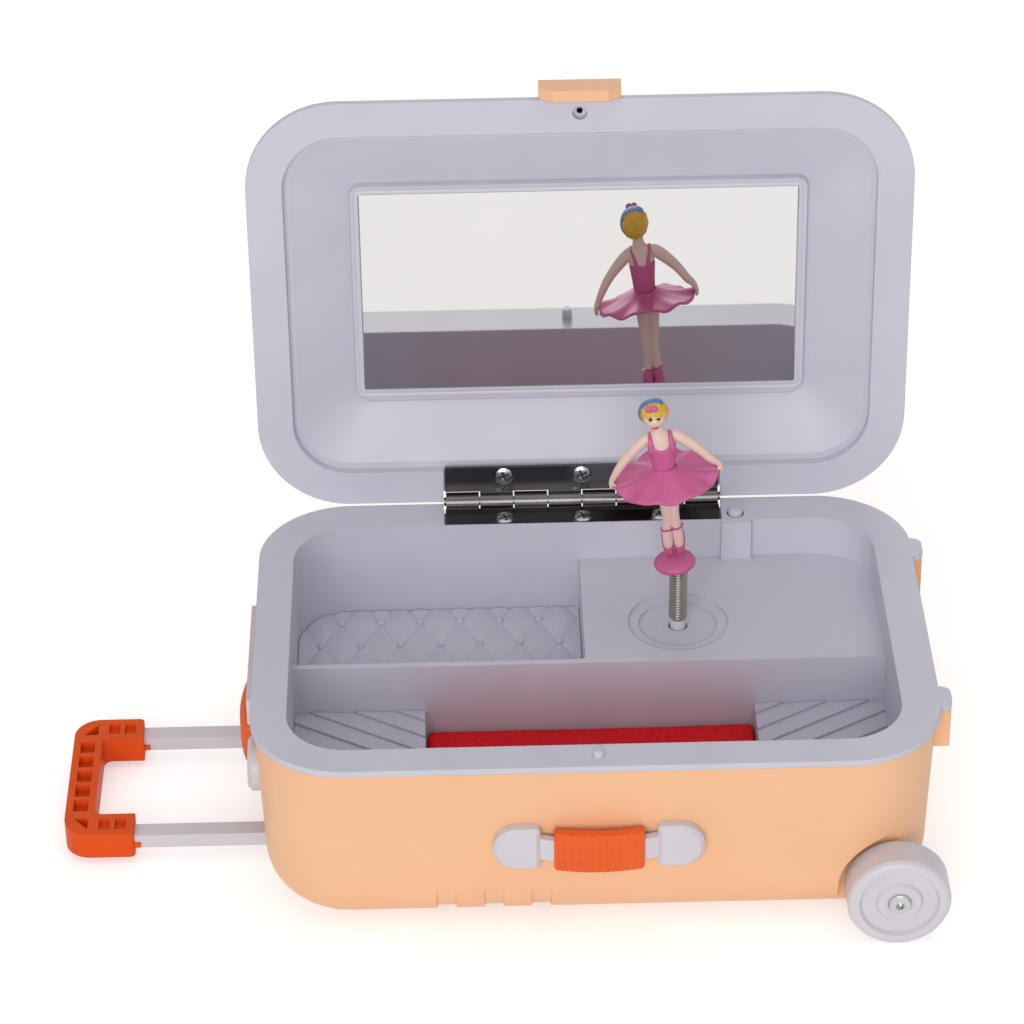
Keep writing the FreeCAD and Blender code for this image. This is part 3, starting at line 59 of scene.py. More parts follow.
def finish(name, light, dark, rough=(0.35, 0.5), grain=900.0, relief=0.05,
           patch=60.0, soften=0.0, **sockets):
    """A material whose colour drifts between light and dark in patches, with a fine grained skin."""
    mat = bpy.data.materials.new(name)
    mat.use_nodes = True
    tree = mat.node_tree
    tree.nodes.clear()
    out = tree.nodes.new("ShaderNodeOutputMaterial")
    shader = tree.nodes.new("ShaderNodeBsdfPrincipled")
    tree.links.new(shader.outputs["BSDF"], out.inputs["Surface"])
    place = tree.nodes.new("ShaderNodeTexCoord")
    drift = tree.nodes.new("ShaderNodeTexNoise")
    drift.inputs["Scale"].default_value = patch
    drift.inputs["Detail"].default_value = 4.0
    tree.links.new(place.outputs["Object"], drift.inputs["Vector"])
    tint = tree.nodes.new("ShaderNodeValToRGB")
    tint.color_ramp.elements[0].position = 0.3
    tint.color_ramp.elements[0].color = (*dark, 1)
    tint.color_ramp.elements[1].position = 0.7
    tint.color_ramp.elements[1].color = (*light, 1)
    tree.links.new(drift.outputs["Fac"], tint.inputs["Fac"])
    tree.links.new(tint.outputs["Color"], shader.inputs["Base Color"])
    skin = tree.nodes.new("ShaderNodeTexNoise")
    skin.inputs["Scale"].default_value = grain
    skin.inputs["Detail"].default_value = 3.0
    tree.links.new(place.outputs["Object"], skin.inputs["Vector"])
    gloss = tree.nodes.new("ShaderNodeMapRange")
    gloss.inputs["To Min"].default_value = rough[0]
    gloss.inputs["To Max"].default_value = rough[1]
    tree.links.new(skin.outputs["Fac"], gloss.inputs["Value"])
    tree.links.new(gloss.outputs["Result"], shader.inputs["Roughness"])
    bump = tree.nodes.new("ShaderNodeBump")
    bump.inputs["Strength"].default_value = relief
    bump.inputs["Distance"].default_value = GRAIN_DEPTH
    tree.links.new(skin.outputs["Fac"], bump.inputs["Height"])
    tree.links.new(bump.outputs["Normal"], shader.inputs["Normal"])
    if soften:
        edge = tree.nodes.new("ShaderNodeBevel")
        edge.samples = 4
        edge.inputs["Radius"].default_value = soften
        tree.links.new(edge.outputs["Normal"], bump.inputs["Normal"])
    for socket, value in sockets.items():
        shader.inputs[socket.replace("_", " ")].default_value = value
    return mat


peach = finish("peach_shell_plastic", (0.91, 0.52, 0.295), (0.88, 0.495, 0.275),
               (0.40, 0.52), 1400, 0.05, soften=EDGE)
lilac = finish("pale_tray_plastic", (0.595, 0.585, 0.665), (0.565, 0.555, 0.635),
               (0.38, 0.5), 1500, 0.05, soften=EDGE)
white = finish("pale_fitting_plastic", (0.66, 0.63, 0.68), (0.62, 0.59, 0.64),
               (0.34, 0.46), 1500, 0.04, soften=EDGE)
orange = finish("orange_plastic", (0.80, 0.095, 0.010), (0.74, 0.08, 0.008),
                (0.36, 0.5), 1300, 0.05, soften=EDGE, Specular_IOR_Level=0.14)
# A lighter copy of the orange for the grip sleeves: painted sheen standing in for highlights on the knurl.
orange_with_painted_sheen = finish("orange_grip_painted_sheen", (0.83, 0.13, 0.018), (0.77, 0.11, 0.014),
                     (0.34, 0.46), 1300, 0.05, Specular_IOR_Level=0.3)
foam_red = finish("red_foam", (0.86, 0.016, 0.024), (0.64, 0.009, 0.014),
                  (0.85, 0.98), 1600, 0.6, 900, Specular_IOR_Level=0.25)
nickel = finish("black_nickel", (0.12, 0.113, 0.117), (0.095, 0.088, 0.092),
                (0.10, 0.2), 2500, 0.02, Metallic=1.0)
steel = finish("bright_steel", (0.58, 0.58, 0.59), (0.48, 0.48, 0.49),
               (0.14, 0.26), 2200, 0.03, Metallic=1.0)
silver = finish("mirror_silver", (0.71, 0.695, 0.69), (0.70, 0.685, 0.68),
                (0.01, 0.02), 400, 0.0, Metallic=1.0)
zinc = finish("cast_zinc", (0.52, 0.52, 0.53), (0.42, 0.42, 0.43),
              (0.35, 0.55), 1800, 0.12, Metallic=1.0)
brass = finish("turned_brass", (0.70, 0.48, 0.20), (0.60, 0.40, 0.15),
               (0.22, 0.36), 1800, 0.04, Metallic=1.0)
wire = finish("spring_wire", (0.36, 0.34, 0.32), (0.28, 0.26, 0.24),
              (0.16, 0.28), 2000, 0.03, Metallic=1.0)
# Black for the brake fan, and for the crosses on the hinge screws, where it is painted shade of their
# recesses.
black = finish("black_plastic", (0.03, 0.03, 0.032), (0.02, 0.02, 0.022),
               (0.4, 0.55), 1500, 0.05)
pink = finish("pink_paint", (0.60, 0.12, 0.30), (0.54, 0.10, 0.26),
              (0.40, 0.54), 1500, 0.06, 260)
skin_tone = finish("skin_paint", (0.80, 0.58, 0.51), (0.76, 0.54, 0.47),
                   (0.42, 0.55), 1500, 0.04, 260)
blonde = finish("blonde_paint", (0.76, 0.46, 0.05), (0.60, 0.32, 0.025),
                (0.38, 0.52), 1300, 0.1, 700)
blue = finish("blue_paint", (0.07, 0.22, 0.52), (0.05, 0.17, 0.44),
              (0.38, 0.5), 1400, 0.06, 500)
dark_paint = finish("eye_paint", (0.022, 0.014, 0.016), (0.014, 0.010, 0.012),
                    (0.25, 0.35), 1500, 0.02, 500)
red_paint = finish("lip_paint", (0.56, 0.03, 0.05), (0.48, 0.02, 0.04),
                   (0.3, 0.4), 1500, 0.02, 500)

dress = {
    peach: "base_shell lid_shell",
    lilac: "tray lid_liner stop_plunger",
    white: "wheel_front wheel_rear front_handle_bar end_handle_bar trolley_rod_front trolley_rod_rear "
           "trolley_stop trolley_guide turntable_post end_rail",
    orange: "trolley_pull front_handle_grip end_handle_grip",
    foam_red: "foam_pad",
    nickel: "hinge_leaf_base hinge_leaf_lid hinge_pin",
    steel: "hinge_screws_base hinge_screws_lid axle_pin_front axle_pin_rear base_screws bed_screws "
           "comb_screws arbor comb",
    silver: "mirror",
    zinc: "bedplate winding_key",
    brass: "music_cylinder main_gear cylinder_pinion train_gear",
    wire: "mainspring figure_spring spring_drum",
    black: "brake_fan",
    pink: "dancer_base dancer_skirt dancer_bodice",
    skin_tone: "dancer_legs dancer_arms dancer_head",
    blonde: "dancer_hair",
}
for mat, names in dress.items():
    for name in names.split():
        mesh = nodes[name].data
        mesh.materials.clear()
        mesh.materials.append(mat)

# Makers of shapes, in millimetres.


def settle(name, work, mat, body, place=None, stands_for=(),
           smooth=True, crease=40.0, rounds=0):
    """Turns a bmesh in millimetres into a piece in metres that rides on a body."""
    if place is not None:
        bmesh.ops.transform(work, matrix=place, verts=work.verts)
    bmesh.ops.scale(work, vec=(MM, MM, MM), verts=work.verts)
    bmesh.ops.recalc_face_normals(work, faces=work.faces)
    mesh = bpy.data.meshes.new(name)
    work.to_mesh(mesh)
    work.free()
    mesh.materials.append(mat)
    if smooth:
        mesh.polygons.foreach_set("use_smooth", [True] * len(mesh.polygons))
        mesh.set_sharp_from_angle(angle=math.radians(crease))
    piece = bpy.data.objects.new(name, mesh)
    bpy.context.scene.collection.objects.link(piece)
    if rounds:
        smoother = piece.modifiers.new("rounding", "SUBSURF")
        smoother.levels = rounds
        smoother.render_levels = rounds
    if body:
        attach(piece, body)
    if stands_for:
        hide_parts(*stands_for)
    return piece


def block(work, size, middle):
    """A box given by its size and its middle."""
    made = bmesh.ops.create_cube(work, size=1.0)["verts"]
    bmesh.ops.scale(work, vec=size, verts=made)
    bmesh.ops.translate(work, vec=middle, verts=made)


def eased(work, edges, radius, segments):
    """Rounds the edges that are given."""
    bmesh.ops.bevel(work, geom=edges, offset=radius, segments=segments, profile=0.5,
                    affect="EDGES", material=-1)


def trimmed(work, spot, out):
    """Cuts a shape at a plane and drops what lies beyond it."""
    bmesh.ops.bisect_plane(work, geom=work.verts[:] + work.edges[:] + work.faces[:], dist=1e-5,
                           plane_co=spot, plane_no=out, clear_outer=True)


def joined(work, part):
    """Adds a finished shape to a larger one."""
    sheet = bpy.data.meshes.new("part")
    part.to_mesh(sheet)
    part.free()
    work.from_mesh(sheet)
    bpy.data.meshes.remove(sheet)


def edge_loop(work):
    """The open edges of a shape."""
    return [edge for edge in work.edges if edge.is_boundary]


def turned(work, profile, steps=64):
    """A shape turned about the Z axis from a profile of radius and height."""
    spots = [work.verts.new((r, 0, z)) for r, z in profile]
    edges = [work.edges.new(pair) for pair in zip(spots, spots[1:])]
    bmesh.ops.spin(work, geom=spots + edges, cent=(0, 0, 0), axis=(0, 0, 1), dvec=(0, 0, 0),
                   angle=2 * math.pi, steps=steps, use_merge=True)
    bmesh.ops.remove_doubles(work, verts=work.verts, dist=1e-4)


def ring_of(work, sides, place):
    """A closed ring of vertices with its edges, put in place."""
    made = bmesh.ops.create_circle(work, segments=sides, radius=1.0, cap_ends=False)["verts"]
    bmesh.ops.transform(work, matrix=place, verts=made)
    edges = {edge for vert in made for edge in vert.link_edges}
    return made, list(edges)


def lofted(work, places, sides=24, caps=True):
    """A skin through rings, each given as a matrix that places a unit circle."""
    rings = [ring_of(work, sides, place) for place in places]
    for (_, near), (_, far) in zip(rings, rings[1:]):
        bmesh.ops.bridge_loops(work, edges=near + far)
    if caps:
        for _, edges in (rings[0], rings[-1]):
            bmesh.ops.contextual_create(work, geom=edges)
    return [verts for verts, _ in rings]


def oval(spot, rx, ry, tilt=None):
    """The place of an oval ring, square to the direction of its tilt."""
    base = Matrix.Translation(spot)
    if tilt is not None:
        base = base @ Vector(tilt).to_track_quat("Z", "Y").to_matrix().to_4x4()
    return base @ Matrix.Diagonal((rx, ry, 1.0, 1.0))


# How far a limb's end rings stand out and how wide they are, as shares of its last radius.
LIMB_END = ((0.6, 0.8), (0.92, 0.35))


def limb(work, spots, radii, sides=20, flat=1.0):
    """A tapering limb through points, with rounded ends."""
    spots = [Vector(spot) for spot in spots]
    places = []
    for i, (spot, radius) in enumerate(zip(spots, radii)):
        ahead = spots[min(i + 1, len(spots) - 1)] - spots[max(i - 1, 0)]
        places.append(oval(spot, radius, radius * flat, ahead))
    first = (spots[0] - spots[1]).normalized()
    last = (spots[-1] - spots[-2]).normalized()
    start = [oval(spots[0] + first * radii[0] * a, radii[0] * b, radii[0] * b * flat, -first)
             for a, b in reversed(LIMB_END)]
    end = [oval(spots[-1] + last * radii[-1] * a, radii[-1] * b, radii[-1] * b * flat, last)
           for a, b in LIMB_END]
    lofted(work, start + places + end, sides)


# The dancer, drawn upright on its dome and leaned as the solids are.

FIGURE = Matrix.Translation((20.35, 15.7, 50.2)) @ Matrix.Rotation(math.radians(-6.0), 4, "Y")

DOME_R, DOME_RISE, DOME_FOOT_R = 4.75, 1.95, 2.2
DOME_LOW, DOME_MIDDLE, DOME_TOP = 1.5, 3.4, 5.35
DOME_SHIFT = -0.25
work = bmesh.new()
dome = [(0.0, DOME_LOW), (DOME_FOOT_R, DOME_LOW)]
for a in [math.radians(-62 + 9 * i) for i in range(17)]:
    dome.append((DOME_R * math.cos(a), DOME_MIDDLE + DOME_RISE * math.sin(a)))
dome.append((0.0, DOME_TOP))
turned(work, dome)
bmesh.ops.translate(work, vec=(DOME_SHIFT, 0, 0), verts=work.verts)
settle("dancer_dome", work, pink, "figure", FIGURE, ["dancer_base"])

LEGS = {
    -1: [(-1.1, 0.2, 27.2), (-1.0, 0.1, 23.5), (-0.85, 0.0, 20.0), (-0.75, 0.0, 17.4), (-0.85, 0.2, 14.8),
         (-1.1, 0.4, 12.4), (-1.25, 0.5, 10.4), (-1.25, 0.5, 8.2)],
    1: [(1.2, 0.2, 27.2), (1.1, 0.1, 23.5), (0.95, 0.0, 20.0), (0.75, 0.0, 17.4), (0.85, 0.2, 14.8),
        (1.05, 0.4, 12.4), (1.2, 0.5, 10.4), (1.2, 0.5, 8.2)],
}
LEG_R = (1.95, 1.72, 1.45, 1.22, 1.16, 1.22, 1.28, 1.22)
work = bmesh.new()
for spots in LEGS.values():
    limb(work, spots, LEG_R, 20)
settle("dancer_leg_pair", work, skin_tone, "figure", FIGURE, ["dancer_legs"], rounds=1)
work = bmesh.new()
for side in LEGS:
    slipper = [(1.28 * side, 1.0, 12.0), (1.36 * side, 0.95, 10.4), (1.34 * side, 0.9, 8.6),
               (1.26 * side, 0.85, 7.2), (1.2 * side, 0.8, 5.9)]
    limb(work, slipper, (1.2, 1.34, 1.36, 1.3, 1.05), 20)
settle("dancer_slippers", work, pink, "figure", FIGURE, rounds=1)
ANKLE_X, ANKLE_Y, RIBBON_R, RIBBON_LEVEL, RIBBON_TILT = 1.0, 0.3, 1.34, 12.8, 0.35
RIBBON_WIDE, RIBBON_THICK = 0.3, 0.2
work = bmesh.new()
for side in LEGS:
    band = []
    for a in [math.radians(10 * i) for i in range(37)]:
        spot = (ANKLE_X * side + RIBBON_R * math.cos(a), ANKLE_Y + RIBBON_R * math.sin(a),
                RIBBON_LEVEL + RIBBON_TILT * abs(math.cos(a)) * side)
        band.append(oval(spot, RIBBON_WIDE, RIBBON_THICK, (-math.sin(a), math.cos(a), 0)))
    lofted(work, band, 10, caps=False)
bmesh.ops.remove_doubles(work, verts=work.verts, dist=1e-3)
settle("dancer_ribbons", work, pink, "figure", FIGURE)

# Half widths and level of the skirt at the waist, and how far it flares, falls and lifts by the hem.
WAIST_X, WAIST_Y, WAIST_LEVEL = 2.6, 2.2, 29.3
FLARE_X, FLARE_Y, FLARE_DROP, BACK_LIFT = 8.9, 6.9, 3.5, 2.6


def skirt_spot(angle, share, drop):
    """A point of the skirt: wavy at the hem, drawn up at both sides and lifted at the back."""
    c, s = math.cos(angle), math.sin(angle)
    out = share ** 0.92
    wave = share ** 2 * (0.5 * math.cos(7 * angle + 0.9) + 0.3 * math.cos(12 * angle + 2.0))
    x = (WAIST_X + FLARE_X * out + 0.3 * wave) * c
    y = (WAIST_Y + FLARE_Y * out + 0.3 * wave) * s
    z = WAIST_LEVEL - FLARE_DROP * share ** 0.75 - drop + 0.8 * wave
    z += share ** 1.5 * (0.9 * abs(c) ** 4 + 0.4 * c) - 0.25 * share ** 2 * max(0.0, -s)
    z += BACK_LIFT * share ** 1.2 * max(0.0, s) ** 1.5
    return Vector((x, y, z))


# Share of the way to the hem, and the drop below the outer side: out, round the hem and back inside.
SKIRT_RINGS, SKIRT_THICK = 12, 0.42
work = bmesh.new()
levels = [(i / SKIRT_RINGS, 0.0) for i in range(SKIRT_RINGS + 1)]
levels += [(1.02, 0.12), (1.03, 0.34), (1.015, 0.55), (0.985, 0.62), (0.95, 0.5)]
levels += [(i / SKIRT_RINGS, SKIRT_THICK) for i in range(SKIRT_RINGS - 2, -1, -1)]
rings = lofted(work, [Matrix.Translation((0, 0, -i)) for i in range(len(levels))], 144, caps=False)
for ring, (share, drop) in zip(rings, levels):
    for vert in ring:
        vert.co = skirt_spot(math.atan2(vert.co.y, vert.co.x), share, drop)
bmesh.ops.bridge_loops(work, edges=edge_loop(work))
settle("dancer_tutu", work, pink, "figure", FIGURE, ["dancer_skirt"], crease=60)

# Level and half widths of the bodice and of the chest above it.
TORSO = [(28.7, 2.7, 2.35), (30.0, 2.62, 2.3), (31.8, 2.8, 2.4), (33.6, 3.05, 2.6),
         (35.0, 3.2, 2.65), (36.2, 3.2, 2.45)]
CHEST = [(33.0, 2.8, 2.25), (35.0, 3.05, 2.4), (36.6, 3.25, 2.2), (37.8, 2.9, 1.85),
         (38.5, 1.9, 1.5), (39.0, 1.4, 1.35), (40.2, 1.25, 1.25), (41.4, 1.3, 1.25)]
TORSO_X, SCOOP_HALF, SCOOP_DEEP, ARMHOLE_DEEP = -0.2, 1.95, 1.5, 0.7
work = bmesh.new()
rings = lofted(work, [oval((TORSO_X, 0, z), rx, ry) for z, rx, ry in TORSO], 48)
neckline, neck_x, neck_y = TORSO[-1]
for vert in rings[-1]:
    away = vert.co - Vector((TORSO_X, 0, neckline))
    front = max(0.0, -away.y / neck_y)
    scoop = max(0.0, 1.0 - (away.x / SCOOP_HALF) ** 2)
    vert.co.z -= SCOOP_DEEP * scoop * (0.45 + 0.55 * front) + ARMHOLE_DEEP * (abs(away.x) / neck_x) ** 6
settle("dancer_bodice_top", work, pink, "figure", FIGURE, ["dancer_bodice"], rounds=1)
work = bmesh.new()
lofted(work, [oval((TORSO_X - 0.08 * i, 0.1, z), rx, ry) for i, (z, rx, ry) in enumerate(CHEST)], 28)
settle("dancer_chest", work, skin_tone, "figure", FIGURE, rounds=1)
work = bmesh.new()
for side in (-1, 1):
    strap = [(side * 2.3 - 0.2, -2.05, 34.9), (side * 2.3 - 0.2, -2.1, 36.1), (side * 2.25 - 0.3, -1.65, 37.6),
             (side * 2.2 - 0.3, -0.4, 38.6), (side * 2.1 - 0.3, 0.9, 38.2), (side * 1.7 - 0.2, 2.0, 36.9),
             (side * 1.3 - 0.2, 2.4, 35.2)]
    limb(work, strap, (0.75, 0.62, 0.52, 0.48, 0.48, 0.55, 0.65), 12, 0.55)
settle("dancer_straps", work, pink, "figure", FIGURE, rounds=1)
work = bmesh.new()
for side, hand in ((-1, 26.3), (1, 27.5)):
    spots = [(side * 2.9, 0.1, 37.3), (side * 4.3, 0.0, 36.5), (side * 6.2, -0.25, 34.8),
             (side * 7.9, -0.35, 33.2), (side * 9.2, -0.4, 31.7), (side * 10.6, -0.3, 29.7),
             (side * 11.5, -0.2, hand + 1.9), (side * 12.1, -0.1, hand + 0.8)]
    limb(work, spots, (1.3, 1.35, 1.22, 1.08, 1.02, 0.92, 0.74, 0.7), 18)
    palm = [(side * 12.0, -0.1, hand + 1.1), (side * 12.4, -0.1, hand + 0.2),
            (side * 12.3, -0.2, hand - 0.7)]
    limb(work, palm, (0.72, 0.95, 0.6), 14, 0.62)
    thumb = [(side * 12.0, -0.55, hand + 0.5), (side * 11.6, -0.85, hand - 0.1),
             (side * 11.3, -0.9, hand - 0.5)]
    limb(work, thumb, (0.32, 0.32, 0.24), 10)
settle("dancer_arm_pair", work, skin_tone, "figure", FIGURE, ["dancer_arms"], rounds=1)

HEAD = Vector((-1.1, 0.0, 43.35))
HEAD_R = Vector((2.75, 2.85, 3.25))
JAW_FORWARD, NOSE_LONG, NOSE_LEVEL = 0.95, 0.32, -0.7
EYE_X, EYE_LEVEL, MOUTH_LEVEL = 0.9, 0.15, -2.05


def jaw(z):
    """How far the lower face comes forward, z from the head's middle."""
    return JAW_FORWARD * max(0.0, -z / HEAD_R.z)


def on_face(x, z, lift):
    """A point on the face, x and z from the head's middle."""
    side = (x / HEAD_R.x) ** 2 + (z / HEAD_R.z) ** 2
    return HEAD + Vector((x, -HEAD_R.y * math.sqrt(max(0.0, 1 - side)) - jaw(z) - lift, z))


def ball(work, spot, radii, parts=24):
    """A ball with its own radius along each axis."""
    made = bmesh.ops.create_uvsphere(work, u_segments=parts, v_segments=parts // 2, radius=1.0)["verts"]
    bmesh.ops.transform(work, matrix=Matrix.Translation(spot) @ Matrix.Diagonal((*radii, 1.0)), verts=made)
    return made


work = bmesh.new()
for vert in ball(work, HEAD, HEAD_R, 48):
    local = vert.co - HEAD
    low = max(0.0, -local.z / HEAD_R.z)
    vert.co.x -= local.x * 0.2 * low ** 2
    vert.co.y -= jaw(local.z)
    if local.y < 0:
        vert.co.y -= NOSE_LONG * math.exp(-((local.x / 0.42) ** 2) - ((local.z - NOSE_LEVEL) / 0.5) ** 2)
settle("dancer_face", work, skin_tone, "figure", FIGURE, ["dancer_head"], crease=80)
work = bmesh.new()
for side in (-1, 1):
    x = EYE_X * side
    ball(work, on_face(x, EYE_LEVEL, 0.02), (0.4, 0.14, 0.46), 16)
    lash = [on_face(x - 0.55 * side, 0.3, 0.1), on_face(x, 0.65, 0.12), on_face(x + 0.5 * side, 0.75, 0.1),
            on_face(x + 0.9 * side, 1.05, 0.1)]
    limb(work, lash, (0.09, 0.14, 0.13, 0.05), 8)
settle("dancer_eyes", work, dark_paint, "figure", FIGURE)
work = bmesh.new()
smile = [on_face(x, MOUTH_LEVEL + 0.45 * x * x, 0.08) for x in (-0.75, -0.4, 0.0, 0.4, 0.75)]
limb(work, smile, (0.1, 0.24, 0.3, 0.24, 0.1), 10)
settle("dancer_smile", work, red_paint, "figure", FIGURE, rounds=1)

FRINGE_FRONT, FRINGE_LEVEL, LOCKS, LOCK_DEEP = -0.9, 0.7, 44, 0.07
HAIR_THICK, BAND_THICK = 0.62, 0.22
work = bmesh.new()
ball(work, HEAD + Vector((0, 0.25, 0.25)), (3.32, 3.3, 3.15), 72)
gone = []
for face in work.faces:
    local = face.calc_center_median() - HEAD
    if local.y < FRINGE_FRONT and local.z < FRINGE_LEVEL + 0.25 * math.cos(2.2 * local.x + 0.6):
        gone.append(face)
bmesh.ops.delete(work, geom=gone, context="FACES")
for vert in work.verts:
    local = vert.co - HEAD
    lock = math.atan2(local.x, local.z + 4.5) if local.y < 0.5 else math.atan2(local.x, 5.0)
    vert.co += local.normalized() * LOCK_DEEP * math.sin(LOCKS * lock)
bmesh.ops.solidify(work, geom=work.faces[:], thickness=HAIR_THICK)
settle("dancer_bob", work, blonde, "figure", FIGURE, ["dancer_hair"], crease=70)
work = bmesh.new()
ball(work, HEAD + Vector((0, 0.2, 0.25)), (3.48, 3.42, 3.28), 72)
for spot, out in (((0, -1.25, 0), (0, -1, 0.15)), ((0, 1.7, 0), (0, 1, 0.15)), ((0, 0, 1.3), (0.63, 0, -1))):
    trimmed(work, HEAD + Vector(spot), out)
bmesh.ops.solidify(work, geom=work.faces[:], thickness=BAND_THICK)
settle("dancer_band", work, blue, "figure", FIGURE, crease=60)
BOW_X = -0.4
work = bmesh.new()
for side in (-1, 1):
    ball(work, HEAD + Vector((BOW_X + 0.6 * side, -2.15, 2.45)), (0.82, 0.55, 0.85), 20)
ball(work, HEAD + Vector((BOW_X, -2.35, 2.6)), (0.34, 0.4, 0.36), 14)
settle("dancer_bow", work, pink, "figure", FIGURE)

# The close-wound spring that carries the dancer.

COIL_LOW, COIL_HIGH, COIL_R, WIRE_R, COILS = 38.35, 51.8, 1.85, 0.22, 29
COIL_X, COIL_Y = 20.65, 15.7
STEPS = COILS * 28
work = bmesh.new()
loop, loop_edges = ring_of(work, 10, oval((COIL_R, 0, 0), WIRE_R, WIRE_R, (0, 1, 0)))
bmesh.ops.spin(work, geom=loop + loop_edges, cent=(0, 0, 0), axis=(0, 0, 1), angle=2 * math.pi * COILS,
               steps=STEPS, dvec=(0, 0, (COIL_HIGH - COIL_LOW - 2 * WIRE_R) / STEPS), use_merge=False)
bmesh.ops.holes_fill(work, edges=work.edges[:], sides=12)
spring = settle("dancer_spring", work, wire, None, Matrix.Translation((COIL_X, COIL_Y, COIL_LOW + WIRE_R)),
                ["figure_spring"])
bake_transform(spring)

# Foam pad: a crowned red block with an open, uneven top.

FOAM_EDGE, FOAM_CUTS, FOAM_LONG_EDGE = 1.1, 5, 2.0
EDGE_SAG, END_LIFT, PORE_DEEP, SWELL_DEEP = 0.45, 0.5, 0.12, 0.1
low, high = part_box("foam_pad")
work = bmesh.new()
size = (high - low) * 1000
middle = (high + low) * 500
block(work, size, middle)
eased(work, work.edges[:], FOAM_EDGE, 3)
bmesh.ops.subdivide_edges(work, edges=work.edges[:], cuts=FOAM_CUTS, use_grid_fill=True)
long_edges = [edge for edge in work.edges if edge.calc_length() > FOAM_LONG_EDGE]
bmesh.ops.subdivide_edges(work, edges=long_edges, cuts=FOAM_CUTS, use_grid_fill=True)
for vert in work.verts:
    u = (vert.co.x - middle.x) / (size.x / 2)
    v = (vert.co.y - middle.y) / (size.y / 2)
    if vert.co.z > middle.z:
        sag = EDGE_SAG * (1 - (1 - u ** 8) * (1 - v ** 8))
        sag -= END_LIFT * max(0.0, u) ** 3
        pores = PORE_DEEP * (1 + noise.noise(vert.co * 0.9))
        swells = SWELL_DEEP * (1 + noise.noise(vert.co * 0.23))
        vert.co.z -= sag + pores + swells
foam = settle("foam_cushion", work, foam_red, "case", None, ["foam_pad"], crease=60)

# Tufted floor of the rear well: diamonds drawn down to round buttons.

PITCH_X, PITCH_Y = 9.27, 9.13
TUFT_X, TUFT_Y, TUFT_RISE = -57.04, 36.9, 0.85
FLOOR_LEVEL, FLOOR_UNDER, BUTTON_LEVEL = 23.25, 23.1, 23.6
WELL_LEFT, WELL_RIGHT, WELL_FRONT, WELL_BACK = -66.85, -1.15, 2.1, 41.8
CORNER_X, CORNER_Y, CORNER_R = -54.0, 29.0, 12.85
BUTTON_LEFT, BUTTON_RIGHT, BUTTON_FRONT, BUTTON_CORNER_R = -65.5, -2.2, 3.5, 11.5
work = bmesh.new()
bmesh.ops.create_grid(work, x_segments=300, y_segments=190, size=0.5)
for vert in work.verts:
    y = WELL_FRONT + (vert.co.y + 0.5) * (WELL_BACK - WELL_FRONT)
    left = WELL_LEFT
    if y > CORNER_Y:
        left = CORNER_X - math.sqrt(max(0.0, CORNER_R ** 2 - (y - CORNER_Y) ** 2))
    x = left + (vert.co.x + 0.5) * (WELL_RIGHT - left)
    a = (x - TUFT_X) / PITCH_X + (y - TUFT_Y) / (2 * PITCH_Y)
    b = (x - TUFT_X) / PITCH_X - (y - TUFT_Y) / (2 * PITCH_Y)
    seam = min(abs(a - round(a)), abs(b - round(b)))
    corner = math.hypot(a - round(a), b - round(b))
    rise = TUFT_RISE * min(1.0, seam * 2) ** 0.4 * (1 - 0.35 * math.exp(-(corner * 5) ** 2))
    vert.co = Vector((x, y, FLOOR_LEVEL + rise))
hem = bmesh.ops.extrude_edge_only(work, edges=edge_loop(work))["geom"]
for part in hem:
    if isinstance(part, bmesh.types.BMVert):
        part.co.z = FLOOR_UNDER
bmesh.ops.contextual_create(work, geom=edge_loop(work))
settle("tufted_floor", work, lilac, "case", crease=80)
work = bmesh.new()
for row in range(5):
    y = TUFT_Y - PITCH_Y * row
    shift = 0.0 if row % 2 == 0 else -PITCH_X / 2
    for column in range(-2, 9):
        x = TUFT_X + shift + PITCH_X * column
        inside = BUTTON_LEFT <= x <= BUTTON_RIGHT and y >= BUTTON_FRONT
        in_corner = x < CORNER_X and y > CORNER_Y
        if inside and not (in_corner and math.hypot(x - CORNER_X, y - CORNER_Y) > BUTTON_CORNER_R):
            ball(work, (x, y, BUTTON_LEVEL), (0.9, 0.9, 0.75), 16)
settle("tuft_buttons", work, lilac, "case")

# Louvred steps either side of the foam: slanted boards, each raised along its front edge.

